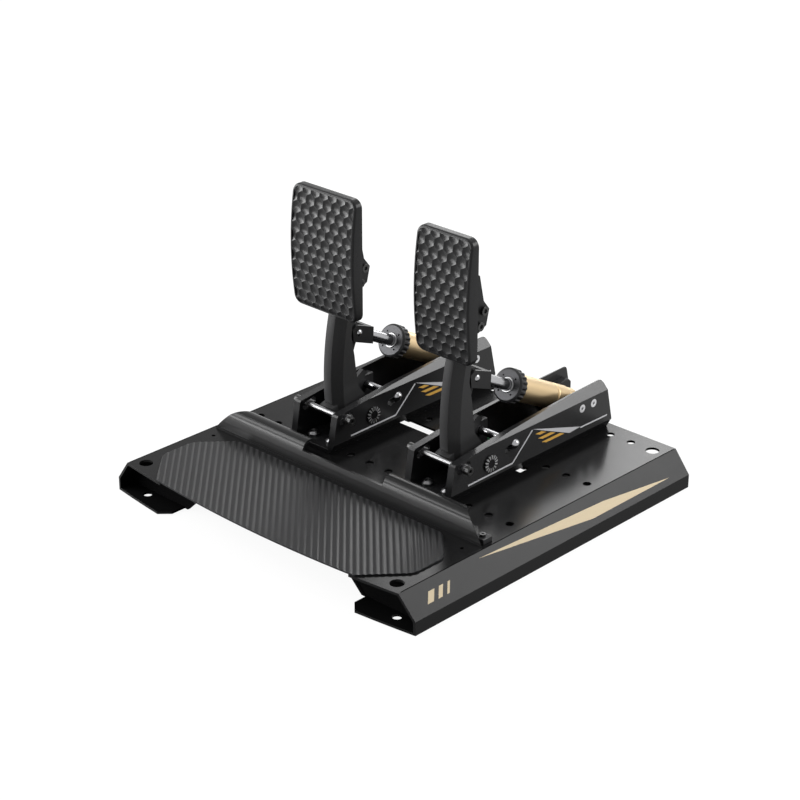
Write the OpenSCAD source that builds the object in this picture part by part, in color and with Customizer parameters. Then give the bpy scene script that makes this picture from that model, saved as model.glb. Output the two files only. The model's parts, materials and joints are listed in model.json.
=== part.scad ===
// Sim racing pedal set: a brake and a throttle module on one bent steel base plate.
// X runs to the driver's right, Y away from the driver and Z up. The origin is the
// middle of the footprint on the floor. Modules are drawn in base coordinates, with
// Y = 0 at the front corners of the base, and shifted to the origin once at the end.

/* [Base plate] */
// Width of the flat deck between the two side bends
deck_w = 373.4; // [366:0.2:380]
// Width over the side walls
base_w = 410; // [400:1:425]
// Depth from the front corners to the rear edge
base_d = 400; // [396:1:420]
// How far the front edge bows out past its corners
front_bow = 15; // [8:1:20]
// Height of the deck's top face above the floor
deck_h = 37.2; // [34:0.2:45]
// Height of the upright part of the side walls
side_h = 14.1; // [10:0.1:18]
// Thickness of the bent sheet
sheet_t = 2.5; // [2:0.1:3]
// Gap between the two foot flanges
flange_gap = 253; // [240:0.2:262]
// Size of the cut corner at the front of each foot flange
flange_cut = 10.5; // [6:0.5:14]
// Gap between the front tool holes and the plates that close the side channels
closure_gap = 0.8; // [0.6:0.1:6]
// How far the slanted edge of those plates leans inward at its top
closure_lean = 36; // [20:1:40]
// Width of the raised strap along that slanted edge
strap_w = 7.5; // [5:0.5:10]

/* [Floor mounting holes] */
// Distance between the left and right floor holes
mount_pitch_x = 345.4; // [338:0.2:348]
// Distance between the front and rear floor holes
mount_pitch_y = 369.8; // [350:0.2:372]
// Distance of the front floor holes from the front corners
mount_inset = 10.2; // [9:0.2:14]
// Diameter of the floor holes in the flanges
mount_d = 9.4; // [8:0.2:11]
// Diameter of the tool holes above them in the deck
access_d = 14; // [12:0.5:15]

/* [Hole grid and slot] */
// Distance between the columns of module holes
grid_pitch = 26.4; // [26:0.1:27]
// Diameter of a module hole
grid_d = 8.4; // [8.2:0.1:9]
// Columns of module holes on each side of the middle
grid_columns = 7; // [5:1:7]
// Distance of the first bolt row behind the front of a module
row_front = 15; // [13:0.5:16]
// Distance of the middle bolt row behind the front of a module
row_middle = 129; // [124:0.5:134]
// Distance of the last bolt row behind the front of a module
row_rear = 231.2; // [226:0.1:234]
// Width of the cable slot across the deck
slot_w = 218; // [180:1:230]
// Front to back size of the cable slot
slot_d = 12.6; // [8:0.1:14]
// Distance of the cable slot behind the front corners
slot_y = 251.3; // [248:0.1:255]

/* [Heel mat] */
// Half width of the mat where it meets the front edge
mat_front_x = 136; // [120:1:145]
// Half width of the mat at its widest
mat_side_x = 173; // [160:1:178]
// Half width of the mat at its rear edge
mat_rear_x = 143; // [130:1:155]
// Distance of the widest part from the front corners
mat_side_y = 30; // [25:1:40]
// Distance of the rear cut corners from the front corners
mat_cut_y = 72; // [60:1:80]
// Distance of the rear edge from the front corners
mat_rear_y = 105; // [98:1:108]
// Thickness of the mat up to the top of its ribs
mat_t = 1.8; // [1.4:0.1:2.5]
// How far the mat stands out past the deck's front edge
mat_overhang = 6; // [2:0.5:8]
// Depth of the grooves between the ribs
mat_groove = 0.7; // [0.3:0.1:0.9]
// Distance between the ribs
rib_pitch = 6.2; // [5:0.1:8]

/* [Heel rest] */
// Distance of the heel rest's foot line from the front corners
heel_y = 112; // [110:1:118]
// Half width of the heel rest along its foot
heel_x = 183.5; // [178:0.5:184]
// Radius of the gently curved face
heel_face_r = 64; // [50:1:90]
// Radius of the roll along the top
heel_roll_r = 10.5; // [8:0.5:13]
// Lean of the face at its foot, in degrees
heel_lean = 4; // [2:1:8]
// Lean of the face where the roll starts, in degrees
heel_roll_lean = 20; // [16:1:24]
// Width of the dip in the top edge
heel_dip_w = 110; // [60:1:140]
// Offset of the dip from the middle
heel_dip_x = -3; // [-10:1:10]
// Depth of the dip
heel_dip_h = 9; // [4:0.5:10]
// Depth of the hidden flange that lies on the deck
heel_flange = 24; // [20:1:26]
// Width of each end block
foot_w = 13; // [10:0.5:14]
// Depth of each end block
foot_d = 12; // [10:0.5:13]
// Height of each end block
foot_h = 5; // [4:0.5:7]
// Head diameter of the heel rest screws
heel_screw_d = 6.4; // [5:0.1:7]

/* [Module channel] */
// Distance of the modules behind the front corners
module_y = 149; // [146:0.5:152]
// Columns between the middle of the base and the middle of a module
module_columns = 3; // [2:1:4]
// Length of the side walls
wall_len = 244; // [241:1:247]
// Clear width between the side walls
channel_w = 45; // [44:0.5:50]
// Thickness of the side walls
wall_t = 8; // [6:0.5:10]
// Thickness of the channel floor
floor_t = 5; // [4:0.5:6]
// Height of the wall at its front corner
nose_h = 41.8; // [40:0.2:44]
// How far the front edge of the wall leans back
nose_lean = 6; // [2:0.5:8]
// Height of the wall where its top edge bends
bend_h = 49.8; // [48:0.2:53]
// Distance of that bend behind the front of the wall
bend_y = 86; // [80:1:95]
// Height of the wall at its rear
tail_h = 56.6; // [54:0.2:60]
// How far the rear edge of the wall leans forward
tail_lean = 10.2; // [4:0.2:12]
// Height of the crease where the outer top chamfer starts
crease_h = 46.1; // [44:0.1:49]
// Steepness of the outer top chamfer
crease_slope = 1.5; // [1.3:0.1:2]
// How far the outer face turns in at the foot of the wall
turn_in = 6.5; // [3:0.5:7]
// Height of that turned-in strip
turn_h = 10.8; // [6:0.2:13]

/* [Pivot and stops] */
// Distance of the pedal pivot behind the front of a module
pivot_y = 56.4; // [55:0.2:58]
// Height of the pedal pivot above the deck
pivot_h = 27.1; // [26:0.1:29]
// Diameter of the pivot axle
axle_d = 12; // [10:0.5:13]
// Diameter of the serrated discs at its ends
disc_d = 18; // [16:0.5:22]
// Thickness of those discs
disc_t = 2; // [1.5:0.1:3]
// Teeth around each disc
disc_teeth = 16; // [10:1:18]
// Diameter of the front stop rod
front_rod_d = 6; // [5.6:0.1:6.8]
// Distance of the front stop rod in front of the pivot
front_rod_y = 38.9; // [38:0.1:40]
// Height of the front stop rod above the pivot
front_rod_h = 8.2; // [7.6:0.1:9]
// Diameter of the rear stop rod
rear_rod_d = 8; // [7:0.2:8.4]
// Distance of the rear stop rod behind the pivot
rear_rod_y = 36.2; // [35.5:0.1:38]
// Height of the rear stop rod above the pivot
rear_rod_h = 8; // [7:0.1:9]
// Width of the adjusting slots for the stop rods
adjust_w = 7.5; // [6:0.1:8]
// Length of the straight part of the adjusting slots
adjust_len = 11.4; // [9:0.2:13]

/* [Pedal arm] */
// Radius of the arm's curved front face
arm_r = 305; // [290:1:330]
// Distance of the arm's foremost point in front of the pivot
arm_reach = 33.9; // [33:0.1:35]
// Height of the arm's foremost point above the pivot
arm_mid_h = 38.7; // [36:0.2:42]
// Width of the arm
arm_w = 26; // [24:0.5:27]
// Width of the flat strip along the arm's front face
arm_flat_w = 10.4; // [8:0.2:13]
// Depth of the slanted flanks beside that strip
flank_d = 9.6; // [7:0.2:11]
// Depth of the arm at the height of its foremost point
arm_d = 25.4; // [24:0.2:27]
// Width of the rear rib and of the lug for the clevis
lug_w = 13.4; // [11:0.2:14]
// Radius of the hub about the pivot
hub_r = 14; // [12.5:0.5:14.5]
// Outer diameter of the hub bushes
bush_d = 15; // [14:0.2:17]
// Thickness of the tongue that the pad bracket holds
tongue_w = 17.4; // [15:0.2:18]
// Height of the tongue's top above the pivot
tongue_h = 161; // [158:0.5:163]
// Full travel of the throttle in degrees
press_travel = 18; // [14:1:19]

/* [Clevis and damper] */
// Distance of the clevis pin behind the pivot
pin_y = 1.3; // [0.6:0.1:2]
// Height of the clevis pin above the pivot
pin_h = 83.4; // [82:0.2:85]
// Distance of the rear axle behind the pivot
rear_axle_y = 164.65; // [163:0.05:167]
// Height of the rear axle above the pivot
rear_axle_h = -0.2; // [-1:0.1:2]
// Width of the clevis
clevis_w = 22; // [20:0.5:25]
// Slope of the clevis in degrees
clevis_tilt = 20.5; // [18:0.5:24]
// Diameter of the clevis pin
pin_d = 6; // [5:0.2:6.4]
// Diameter of the damper rod
rod_d = 12; // [10:0.2:12.4]
// Distance of the preload ring from the clevis pin, along the damper
ring_s = 63; // [58:0.5:68]
// Outer diameter of the preload ring
ring_d = 35; // [32:0.5:38]
// Thickness of the preload ring
ring_t = 11.5; // [9:0.5:13]
// Notches around the preload ring
ring_notches = 20; // [12:1:24]
// Outer diameter of the damper sleeve
sleeve_d = 27; // [26:0.2:28]
// Length of the damper sleeve behind the preload ring
sleeve_len = 60.6; // [59:0.2:61.4]
// Wall of the damper sleeve
sleeve_wall = 2.9; // [2:0.1:3]
// Length of the stepped tail piece
tail_len = 36; // [34:0.5:36.5]
// Length of the end cap's cone
cap_len = 7.5; // [6:0.5:8.5]
// Diameter of the rear axle
rear_axle_d = 8; // [7:0.2:9]
// Coils of the throttle spring
spring_coils = 9; // [5:1:10]
// Wire diameter of the throttle spring
spring_wire = 2.6; // [2:0.1:2.8]
// Elastomer discs in the brake
elastomers = 4; // [2:1:5]

/* [Pads] */
// Width of the brake pad
brake_pad_w = 87; // [70:1:100]
// Width of the throttle pad
throttle_pad_w = 70; // [64:1:86]
// Height of both pads
pad_h = 126.6; // [112:0.2:130]
// Height of the pads' middle above the pivot
pad_mid_h = 175.8; // [175:0.2:184]
// Thickness of the pads in their middle
pad_t = 14.9; // [13:0.1:17]
// Radius of the pads' curved front face
pad_face_r = 355; // [300:5:500]
// How far the front face's foremost line lies below the pads' middle
pad_crown_low = 2.6; // [0:0.2:6]
// Corner radius of the pads
pad_corner = 9; // [5:0.5:14]
// Distance of the pads' flat rear face in front of the pivot
pad_back = 25.6; // [25.4:0.1:28]
// Outside width of the pad bracket's ears
bracket_w = 24; // [23.6:0.2:28]
// Sheet thickness of the pad bracket
bracket_t = 3; // [2:0.1:3]

/* [Hidden] */

$fn = 64;
// Overshoot that makes a cut pass clean through a face
cut = 1;
// Gap between faces of pieces that move past each other
run_gap = 0.3;
// Radial clearance of a pin or shaft in its bore
fit = 0.05;
// Radial clearance of the arm's lug on the clevis pin, where the linkage is open
lug_gap = 0.7;

// Radius and centre of the bowed front edge, which passes through the front corners
bow_r = (pow(base_w / 2, 2) + pow(front_bow, 2)) / (2 * front_bow);
bow_y = bow_r - front_bow;
// Depth of the whole footprint's middle
middle_y = (base_d - front_bow) / 2;

module_x = module_columns * grid_pitch;
grid_rows = [module_y + row_front, module_y + row_middle, module_y + row_rear];
outer_w = channel_w + 2 * wall_t;
inner_x = channel_w / 2;
outer_x = outer_w / 2;

// Pivot, stop rods, clevis pin and rear axle, as [y, z] in base coordinates
pivot = [module_y + pivot_y, deck_h + pivot_h];
front_rod = pivot + [-front_rod_y, front_rod_h];
rear_rod = pivot + [rear_rod_y, rear_rod_h];
pin = pivot + [pin_y, pin_h];
rear_axle = pivot + [rear_axle_y, rear_axle_h];
slot_angle = 15;

// The damper's line runs from the clevis pin down to the rear axle
damper_len = norm(rear_axle - pin);
damper_slope = atan2(pin.y - rear_axle.y, rear_axle.x - pin.x);

// Places along the damper's line, measured from the clevis pin
ring_end = ring_s + ring_t;
shoulder_s = ring_end + run_gap;
cavity_s = shoulder_s + 1.4;
sleeve_end = shoulder_s + sleeve_len;
tail_end = sleeve_end + tail_len;
neck_r = 10;
rod_bush_r = rod_d / 2 + 1.9;
lip_t = 1.7;
cavity_r = sleeve_d / 2 - sleeve_wall;
collar_t = 3;
collar_s = cavity_s + run_gap;
stack_s = collar_s + collar_t;
cell_t = 6;
stack_end = sleeve_end - cell_t;

// Centre of the arm's curved front face, as [y, z]
arm_centre = pivot + [arm_r - arm_reach, arm_mid_h];

// Small holes in the deck behind the mat's cut corners
small_hole_d = 4;
small_hole_x = 171;
small_hole_y = 98;

// Bolts of the modules
bolt_d = 8;
bolt_head_d = 13;
bolt_head_h = 4.4;
socket_w = 5;
nut_w = 15;
nut_h = 6.5;

// Screws of the rear blocks
block_t = 8;
block_front = 187;
block_rear = 231;
block_low = 11;
block_high = 46.6;
block_screw_y = [195.3, 213.2];
block_screw_h = 38.1;
block_screw_d = 5;
block_head_d = 8.8;
block_head_t = 2.6;

// Stop rod fasteners
rod_screw_d = 4;
rod_bore = 10;
collar_d = 8.6;
spacer_t = 3.5;
front_head_d = 8.8;
front_head_h = 6;
dome_d = 10.5;
dome_h = 4;
rear_screw_d = 5;

// Sensor housing on the inner face of the left wall
housing_t = 8.2;
housing_front = 43;
housing_rear = 102.5;
housing_low = 9;
housing_high = 45.2;
pocket_d = 5.2;
pocket_wall = 3;
board_t = 1.6;
socket_w_x = 7.6;
socket_h = 9;
socket_len = 10;
socket_hole = 5.4;
magnet_d = 22;
magnet_t = 1;

// Pad bracket and its fasteners
plate_w = 50;
plate_low = -46;
plate_high = 24;
pad_screw_d = 4;
pad_screw_head = 7;
pad_screw_x = 19;
pad_screw_rows = [-38, 16];
bracket_bolt_d = 5;
bracket_bolt_head = 9;
// Bracket bolts: below the tongue's top, and behind the arm's front curve
bracket_bolt_below = [23.3, 9];
bracket_bolt_in = 17.5;

// Right-hand unit normal of a plane direction, and a mitred offset of an open path
function unit(v) = v / norm(v);
function left_of(v) = [-v.y, v.x];
function mitre(a, b) = (left_of(a) + left_of(b)) / (1 + a * b);
function offset_point(p, i, t) =
    i == 0 ? p[0] + t * left_of(unit(p[1] - p[0]))
    : i == len(p) - 1 ? p[i] + t * left_of(unit(p[i] - p[i - 1]))
    : p[i] + t * mitre(unit(p[i] - p[i - 1]), unit(p[i + 1] - p[i]));
function sheet_outline(p, t) = concat(p, [for (i = [len(p) - 1:-1:0]) offset_point(p, i, t)]);
function bow_at(x) = bow_y - sqrt(bow_r * bow_r - x * x);
function polar(r, angle) = [r * cos(angle), r * sin(angle)];

// A [x, z] outline, drawn along Y from y0 to y1
module along_y(y0, y1) {
    translate([0, y1, 0]) rotate([90, 0, 0]) linear_extrude(y1 - y0) children();
}

// A [y, z] outline, drawn across X from x0 to x1
module across_x(x0, x1) {
    translate([x0, 0, 0]) rotate([90, 0, 90]) linear_extrude(x1 - x0) children();
}

// A round bar across X, centred on the [y, z] place p
module bar(p, d, x0, x1) {
    translate([x0, p.x, p.y]) rotate([0, 90, 0]) cylinder(h = x1 - x0, d = d);
}

module upright(x, y, z0, z1, d) {
    translate([x, y, z0]) cylinder(h = z1 - z0, d = d);
}

module both_sides() {
    children();
    mirror([1, 0, 0]) children();
}

// A slot with round ends from the [y, z] place a to b
module round_slot(a, b, w, x0, x1) {
    across_x(x0, x1) {
        translate(a) circle(d = w);
        translate(b) circle(d = w);
        translate(a)
            rotate(atan2(b.y - a.y, b.x - a.x))
                translate([0, -w / 2])
                    square([norm(b - a), w]);
    }
}

// Turns a shape drawn up the Z axis so that it runs down the damper from the clevis pin
module along_damper() {
    translate([0, pin.x, pin.y]) rotate([-90 - damper_slope, 0, 0]) children();
}

module at_module(x) {
    translate([x, -middle_y, 0]) children();
}

module at_base() {
    translate([0, -middle_y, 0]) children();
}

module both_modules() {
    at_module(-module_x) children();
    at_module(module_x) children();
}

// Everything in front of the bowed edge is cut away, less an inset
module inside_bow(inset) {
    translate([0, bow_y, -cut]) cylinder(h = base_w / 2, r = bow_r - inset, $fn = 360);
}

// Base plate

// The outer face of the base's right half, from the flange's edge up to the deck
base_right = [
    [flange_gap / 2, 0],
    [base_w / 2, 0],
    [base_w / 2, side_h],
    [deck_w / 2, deck_h]
];

module base_section() {
    left = [for (i = [len(base_right) - 1:-1:0]) [-base_right[i].x, base_right[i].y]];
    polygon(sheet_outline(concat(base_right, left), sheet_t));
}

module deck_hole(x, y, d) {
    upright(x, y, deck_h - sheet_t - cut, deck_h + cut, d);
}

module grid_holes() {
    for (row = grid_rows)
        for (column = [0:grid_columns - 1])
            for (side = [-1, 1])
                if (!on_access_hole(column, row))
                    deck_hole(side * (column + 0.5) * grid_pitch, row, grid_d);
}

// The last column of the last row is where the deck already has a tool hole
function on_access_hole(column, row) =
    norm([(column + 0.5) * grid_pitch, row] - [mount_pitch_x / 2, mount_inset + mount_pitch_y])
    < (grid_d + access_d) / 2 + 2;

module floor_holes() {
    for (side = [-1, 1])
        for (y = [mount_inset, mount_inset + mount_pitch_y]) {
            upright(side * mount_pitch_x / 2, y, -cut, sheet_t + cut, mount_d);
            deck_hole(side * mount_pitch_x / 2, y, access_d);
        }
}

module flange_cuts() {
    x = flange_gap / 2;
    y = bow_at(x + flange_cut);
    both_sides()
        translate([0, 0, -cut])
            linear_extrude(sheet_t + 2 * cut)
                polygon([
                    [x - cut, y - cut - 10],
                    [x + flange_cut + cut + 10, y - cut - 10],
                    [x - cut, y + flange_cut + cut]
                ]);
}

// A plate across each side channel, with a raised strap along its slanted inner edge
module closures() {
    y = mount_inset + access_d / 2 + closure_gap;
    raised = 0.8;
    path = concat(base_right, [[0, deck_h]]);
    foot = [flange_gap / 2 - 6, sheet_t / 2];
    head = [foot.x - closure_lean, deck_h - sheet_t / 2];
    both_sides() {
        along_y(y, y + sheet_t)
            polygon(concat([head, foot], [for (i = [1:3]) offset_point(path, i, sheet_t / 2)]));
        along_y(y - raised, y + sheet_t / 2)
            polygon([head, foot, foot + [strap_w - 2, 0], head + [strap_w, 0]]);
    }
}

// The deck's edge is set back under the mat
module mat_setback() {
    half = mat_front_x - 6;
    difference() {
        translate([-half, -front_bow - cut, deck_h - sheet_t - cut])
            cube([2 * half, front_bow + mat_overhang, sheet_t + 2 * cut]);
        inside_bow(mat_overhang);
    }
}

module base_plate() {
    color("#26262a")
    at_base()
        difference() {
            intersection() {
                union() {
                    along_y(-front_bow - cut, base_d) base_section();
                    closures();
                }
                inside_bow(0);
            }
            floor_holes();
            grid_holes();
            flange_cuts();
            mat_setback();
            translate([-slot_w / 2, slot_y, deck_h - sheet_t - cut])
                cube([slot_w, slot_d, sheet_t + 2 * cut]);
            for (side = [-1, 1])
                deck_hole(side * small_hole_x, small_hole_y, small_hole_d);
        }
}

// Heel mat

module mat_outline() {
    front = -front_bow - cut;
    half = [
        [mat_front_x, front],
        [mat_front_x, bow_at(mat_front_x)],
        [mat_side_x - 2, mat_side_y],
        [mat_side_x, mat_side_y + 6],
        [mat_side_x, mat_cut_y - 4],
        [mat_side_x - 3, mat_cut_y + 2],
        [mat_rear_x, mat_rear_y - 2],
        [mat_rear_x - 6, mat_rear_y]
    ];
    polygon(concat(half, [for (i = [len(half) - 1:-1:0]) [-half[i].x, half[i].y]]));
}

module mat_grooves() {
    reach = mat_side_x + mat_rear_y;
    step = rib_pitch;
    count = floor(reach / step);
    translate([0, mat_rear_y / 2, deck_h + mat_t - mat_groove])
        rotate([0, 0, -45])
            for (i = [-count:count])
                translate([-reach, i * step, 0])
                    cube([2 * reach, step / 2, mat_groove + cut]);
}

module heel_mat() {
    color("#3a3b3e")
    at_base()
        difference() {
            intersection() {
                translate([0, 0, deck_h]) linear_extrude(mat_t) mat_outline();
                inside_bow(0.4);
            }
            mat_grooves();
        }
}

// Heel rest

// A curved strip of sheet: outer radius r about c, between two angles less than 180 apart
module arc_band(c, r, t, a0, a1) {
    far = 2 * r;
    translate(c)
        intersection() {
            difference() {
                circle(r = r, $fn = 96);
                circle(r = r - t, $fn = 96);
            }
            polygon([[0, 0], polar(far, a0), polar(far, (a0 + a1) / 2), polar(far, a1)]);
        }
}

heel_face_c = [heel_y, deck_h] - polar(heel_face_r, 180 - heel_lean);
heel_turn = heel_face_c + polar(heel_face_r, 180 - heel_roll_lean);
heel_roll_c = heel_turn - polar(heel_roll_r, 180 - heel_roll_lean);
heel_top = heel_roll_c.y + heel_roll_r;
heel_roll_end = 35;

// The face is drawn a little past its foot and cut off at the deck
module heel_section() {
    difference() {
        arc_band(heel_face_c, heel_face_r, sheet_t, 180 - heel_roll_lean - 0.2, 181 - heel_lean);
        translate([heel_y - cut, deck_h - 2 * sheet_t]) square([heel_flange, 2 * sheet_t]);
    }
    arc_band(heel_roll_c, heel_roll_r, sheet_t, heel_roll_end, 180 - heel_roll_lean);
    translate([heel_y + 0.1, deck_h]) square([heel_flange, sheet_t]);
}

// The ends are cut by a plane that leans inward as it rises and as it goes back
mitre_back = 1.07;
mitre_rise = 0.695;

module heel_end_cut() {
    turn = atan2(mitre_back, 1);
    tip = atan2(norm([1, mitre_back]), mitre_rise);
    translate([heel_x, heel_y, deck_h])
        rotate([0, tip, turn])
            translate([-base_w / 2, -base_w / 2, 0])
                cube([base_w, base_w, base_w / 4]);
}

module heel_rest() {
    color("#2b2b2e")
    at_base()
        difference() {
            across_x(-base_w / 2, base_w / 2) heel_section();
            both_sides() heel_end_cut();
            translate([heel_dip_x - heel_dip_w / 2, heel_y - cut, heel_top - heel_dip_h])
                cube([heel_dip_w, 40, heel_dip_h + cut]);
            both_sides()
                translate([foot_x - foot_w / 2 - run_gap, foot_y - run_gap, deck_h - cut])
                    cube([foot_w + 2 * run_gap, foot_d + 2 * run_gap, foot_h + cut]);
            for (x = heel_screw_places)
                upright(x, heel_y + heel_flange / 2, deck_h - cut, deck_h + sheet_t + cut,
                    heel_shank_d + 2 * fit);
        }
}

heel_shank_d = 3.4;
heel_screw_places = [-120, 0, 120];
foot_x = heel_x - foot_w / 2 - 2;
foot_y = heel_y + 4;

module heel_rest_feet() {
    color("#1b1b1d")
    at_base()
        for (side = [-1, 1])
            difference() {
                translate([side * foot_x - foot_w / 2, foot_y, deck_h])
                    cube([foot_w, foot_d, foot_h]);
                upright(side * foot_x, foot_y + foot_d / 2, deck_h - cut, deck_h + foot_h + cut,
                    heel_shank_d + 2 * fit);
            }
}

module pan_screw(x, y, seat, shank) {
    upright(x, y, seat - shank, seat + cut / 2, heel_shank_d);
    difference() {
        upright(x, y, seat, seat + 2.4, heel_screw_d);
        translate([x, y, seat + 1.4]) cylinder(h = 2, d = 2.6, $fn = 6);
    }
}

module heel_rest_screws() {
    color("#9a9a9e")
    at_base() {
        for (x = heel_screw_places)
            pan_screw(x, heel_y + heel_flange / 2, deck_h + sheet_t, sheet_t);
        for (side = [-1, 1])
            pan_screw(side * foot_x, foot_y + foot_d / 2, deck_h + foot_h, foot_h);
    }
}

// Module channel: two side walls and a floor

module wall_outline() {
    translate([module_y, deck_h])
        polygon([
            [0, 0],
            [0, turn_h * 0.7],
            [nose_lean - 0.4, nose_h - 1.6],
            [nose_lean + 1.4, nose_h],
            [bend_y, bend_h],
            [(bend_y + wall_len) / 2 + 16, bend_h + (tail_h - bend_h) * 0.8],
            [wall_len - tail_lean - 5, tail_h],
            [wall_len - tail_lean - 1.6, tail_h - 1],
            [wall_len - tail_lean, tail_h - 3.6],
            [wall_len - 0.6, turn_h],
            [wall_len, 0]
        ]);
}

// Cuts along the whole wall: the turned-in foot strip and the outer top chamfer
module wall_trims() {
    y0 = module_y - cut;
    y1 = module_y + wall_len + cut;
    top = tail_h + 10;
    along_y(y0, y1)
        polygon([
            [outer_x - turn_in, deck_h],
            [outer_x, deck_h + turn_h],
            [outer_x + cut, deck_h + turn_h],
            [outer_x + cut, deck_h - cut],
            [outer_x - turn_in, deck_h - cut]
        ]);
    along_y(y0, y1)
        polygon([
            [outer_x, deck_h + crease_h],
            [outer_x - (top - crease_h) / crease_slope, deck_h + top],
            [outer_x + cut, deck_h + top],
            [outer_x + cut, deck_h + crease_h]
        ]);
}

module wall_holes() {
    x0 = inner_x - cut;
    x1 = outer_x + cut;
    along = polar(1, slot_angle);
    bar(pivot, axle_d + 2 * fit, x0, x1);
    round_slot(front_rod - along * adjust_len * 0.4, front_rod + along * adjust_len * 0.6,
        adjust_w, x0, x1);
    round_slot(rear_rod - along * adjust_len, rear_rod, adjust_w, x0, x1);
    for (y = block_screw_y)
        countersink_hole([module_y + y, deck_h + block_screw_h]);
}

module countersink_hole(p) {
    bar(p, block_screw_d + 2 * fit, inner_x - cut, outer_x + cut);
    translate([outer_x - block_head_t, p.x, p.y])
        rotate([0, 90, 0])
            cylinder(h = block_head_t + 0.01, d1 = block_screw_d + 2 * fit, d2 = block_head_d + 2 * fit);
}

module right_wall() {
    color("#1d1d20")
    difference() {
        across_x(inner_x, outer_x) wall_outline();
        wall_trims();
        wall_holes();
    }
}

module left_wall() {
    mirror([1, 0, 0]) right_wall();
}

module channel_floor() {
    color("#222225")
    difference() {
        translate([-inner_x, module_y, deck_h]) cube([channel_w, wall_len, floor_t]);
        for (row = grid_rows)
            for (side = [-1, 1])
                upright(side * grid_pitch / 2, row, deck_h - cut, deck_h + floor_t + cut, grid_d);
    }
}

module module_bolt(x, y) {
    seat = deck_h + floor_t;
    under = deck_h - sheet_t;
    upright(x, y, under - nut_h - 1, seat + cut / 2, bolt_d);
    difference() {
        union() {
            upright(x, y, seat, seat + bolt_head_h / 2, bolt_head_d);
            translate([x, y, seat + bolt_head_h / 2])
                cylinder(h = bolt_head_h / 2, d1 = bolt_head_d, d2 = bolt_head_d * 0.62);
        }
        translate([x, y, seat + bolt_head_h / 2])
            cylinder(h = bolt_head_h, d = socket_w / cos(30), $fn = 6);
    }
    difference() {
        translate([x, y, under - nut_h]) cylinder(h = nut_h, d = nut_w, $fn = 6);
        upright(x, y, under - nut_h - cut, under + cut, bolt_d + 2 * fit);
    }
}

module module_bolts() {
    color("#b5b5b8")
    both_modules()
        for (row = grid_rows)
            for (side = [-1, 1])
                module_bolt(side * grid_pitch / 2, row);
}

// Pivot axle, with a shoulder that keeps the arm clear of the right wall

module pivot_axle() {
    color("#8c8c90")
    union() {
        bar(pivot, axle_d, -outer_x, outer_x);
        bar(pivot, axle_d + 4, arm_w / 2 + run_gap, inner_x);
    }
}

module pivot_disc() {
    difference() {
        bar(pivot, disc_d, outer_x, outer_x + disc_t);
        bar(pivot, disc_d * 0.5, outer_x + disc_t * 0.7, outer_x + disc_t + cut);
        for (i = [1:disc_teeth])
            bar(pivot + polar(disc_d / 2 + 0.4, i * 360 / disc_teeth), disc_d * 0.09,
                outer_x + disc_t / 2, outer_x + disc_t + cut);
    }
}

module pivot_discs() {
    color("#55555a")
    both_modules() both_sides() pivot_disc();
}

// Stop rods and their fasteners

module front_stop_rod() {
    color("#c9c9cc")
    difference() {
        union() {
            bar(front_rod, front_rod_d, -inner_x, inner_x);
            both_sides() bar(front_rod, collar_d, outer_x, outer_x + spacer_t);
        }
        both_sides() {
            bar(front_rod, rod_screw_d + 2 * fit, inner_x - rod_bore, inner_x + cut);
            bar(front_rod, rod_screw_d + 2 * fit, outer_x - cut, outer_x + spacer_t + cut);
        }
    }
}

module front_rod_screws() {
    color("#18181a")
    both_modules() both_sides() {
        bar(front_rod, rod_screw_d, inner_x - rod_bore, outer_x + spacer_t + cut / 2);
        difference() {
            bar(front_rod, front_head_d, outer_x + spacer_t, outer_x + spacer_t + front_head_h);
            translate([outer_x + spacer_t + front_head_h / 2, front_rod.x, front_rod.y])
                rotate([0, 90, 0]) cylinder(h = front_head_h, d = 4, $fn = 6);
        }
    }
}

module rear_stop_rod() {
    color("#c9c9cc")
    difference() {
        bar(rear_rod, rear_rod_d, -inner_x, inner_x);
        both_sides()
            bar(rear_rod, rear_screw_d + 2 * fit, inner_x - rod_bore, inner_x + cut);
    }
}

// Domed head: a slice of a ball whose rim is the head's diameter
module dome(p, x, d, h) {
    r = (d * d / 4 + h * h) / (2 * h);
    intersection() {
        translate([x + h - r, p.x, p.y]) rotate([0, 90, 0]) sphere(r = r);
        bar(p, 2 * d, x, x + 2 * h);
    }
}

module rear_rod_bolts() {
    color("#c4c4c8")
    both_modules() both_sides() {
        bar(rear_rod, rear_screw_d, inner_x - rod_bore, outer_x + cut / 2);
        dome(rear_rod, outer_x, dome_d, dome_h);
    }
}

// Rear blocks that carry the damper's axle, and their countersunk screws

module block_outline() {
    translate([module_y, deck_h])
        polygon([
            [block_front, block_low + 16],
            [block_front + 16, block_low],
            [block_rear, block_low],
            [block_rear, block_high - 4],
            [block_rear - 4, block_high],
            [block_front, block_high - 3]
        ]);
}

module rear_blocks() {
    color("#1b1b1d")
    both_sides()
        difference() {
            across_x(inner_x - block_t, inner_x) block_outline();
            bar(rear_axle, rear_axle_d + 2 * fit, inner_x - block_t - cut, inner_x + cut);
            for (y = block_screw_y)
                bar([module_y + y, deck_h + block_screw_h], block_screw_d + 2 * fit,
                    inner_x - block_t - cut, inner_x + cut);
        }
}

module rear_axle_pin() {
    color("#8c8c90")
    bar(rear_axle, rear_axle_d, -inner_x, inner_x);
}

module countersunk_screw(p) {
    difference() {
        union() {
            bar(p, block_screw_d, inner_x - block_t, outer_x - block_head_t);
            translate([outer_x - block_head_t, p.x, p.y])
                rotate([0, 90, 0]) cylinder(h = block_head_t, d1 = block_screw_d, d2 = block_head_d);
        }
        translate([outer_x - block_head_t * 0.7, p.x, p.y])
            rotate([0, 90, 0]) cylinder(h = block_head_t, d = 3.4, $fn = 6);
    }
}

module countersunk_screws() {
    color("#a8a8ac")
    both_modules() both_sides()
        for (y = block_screw_y)
            countersunk_screw([module_y + y, deck_h + block_screw_h]);
}

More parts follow.
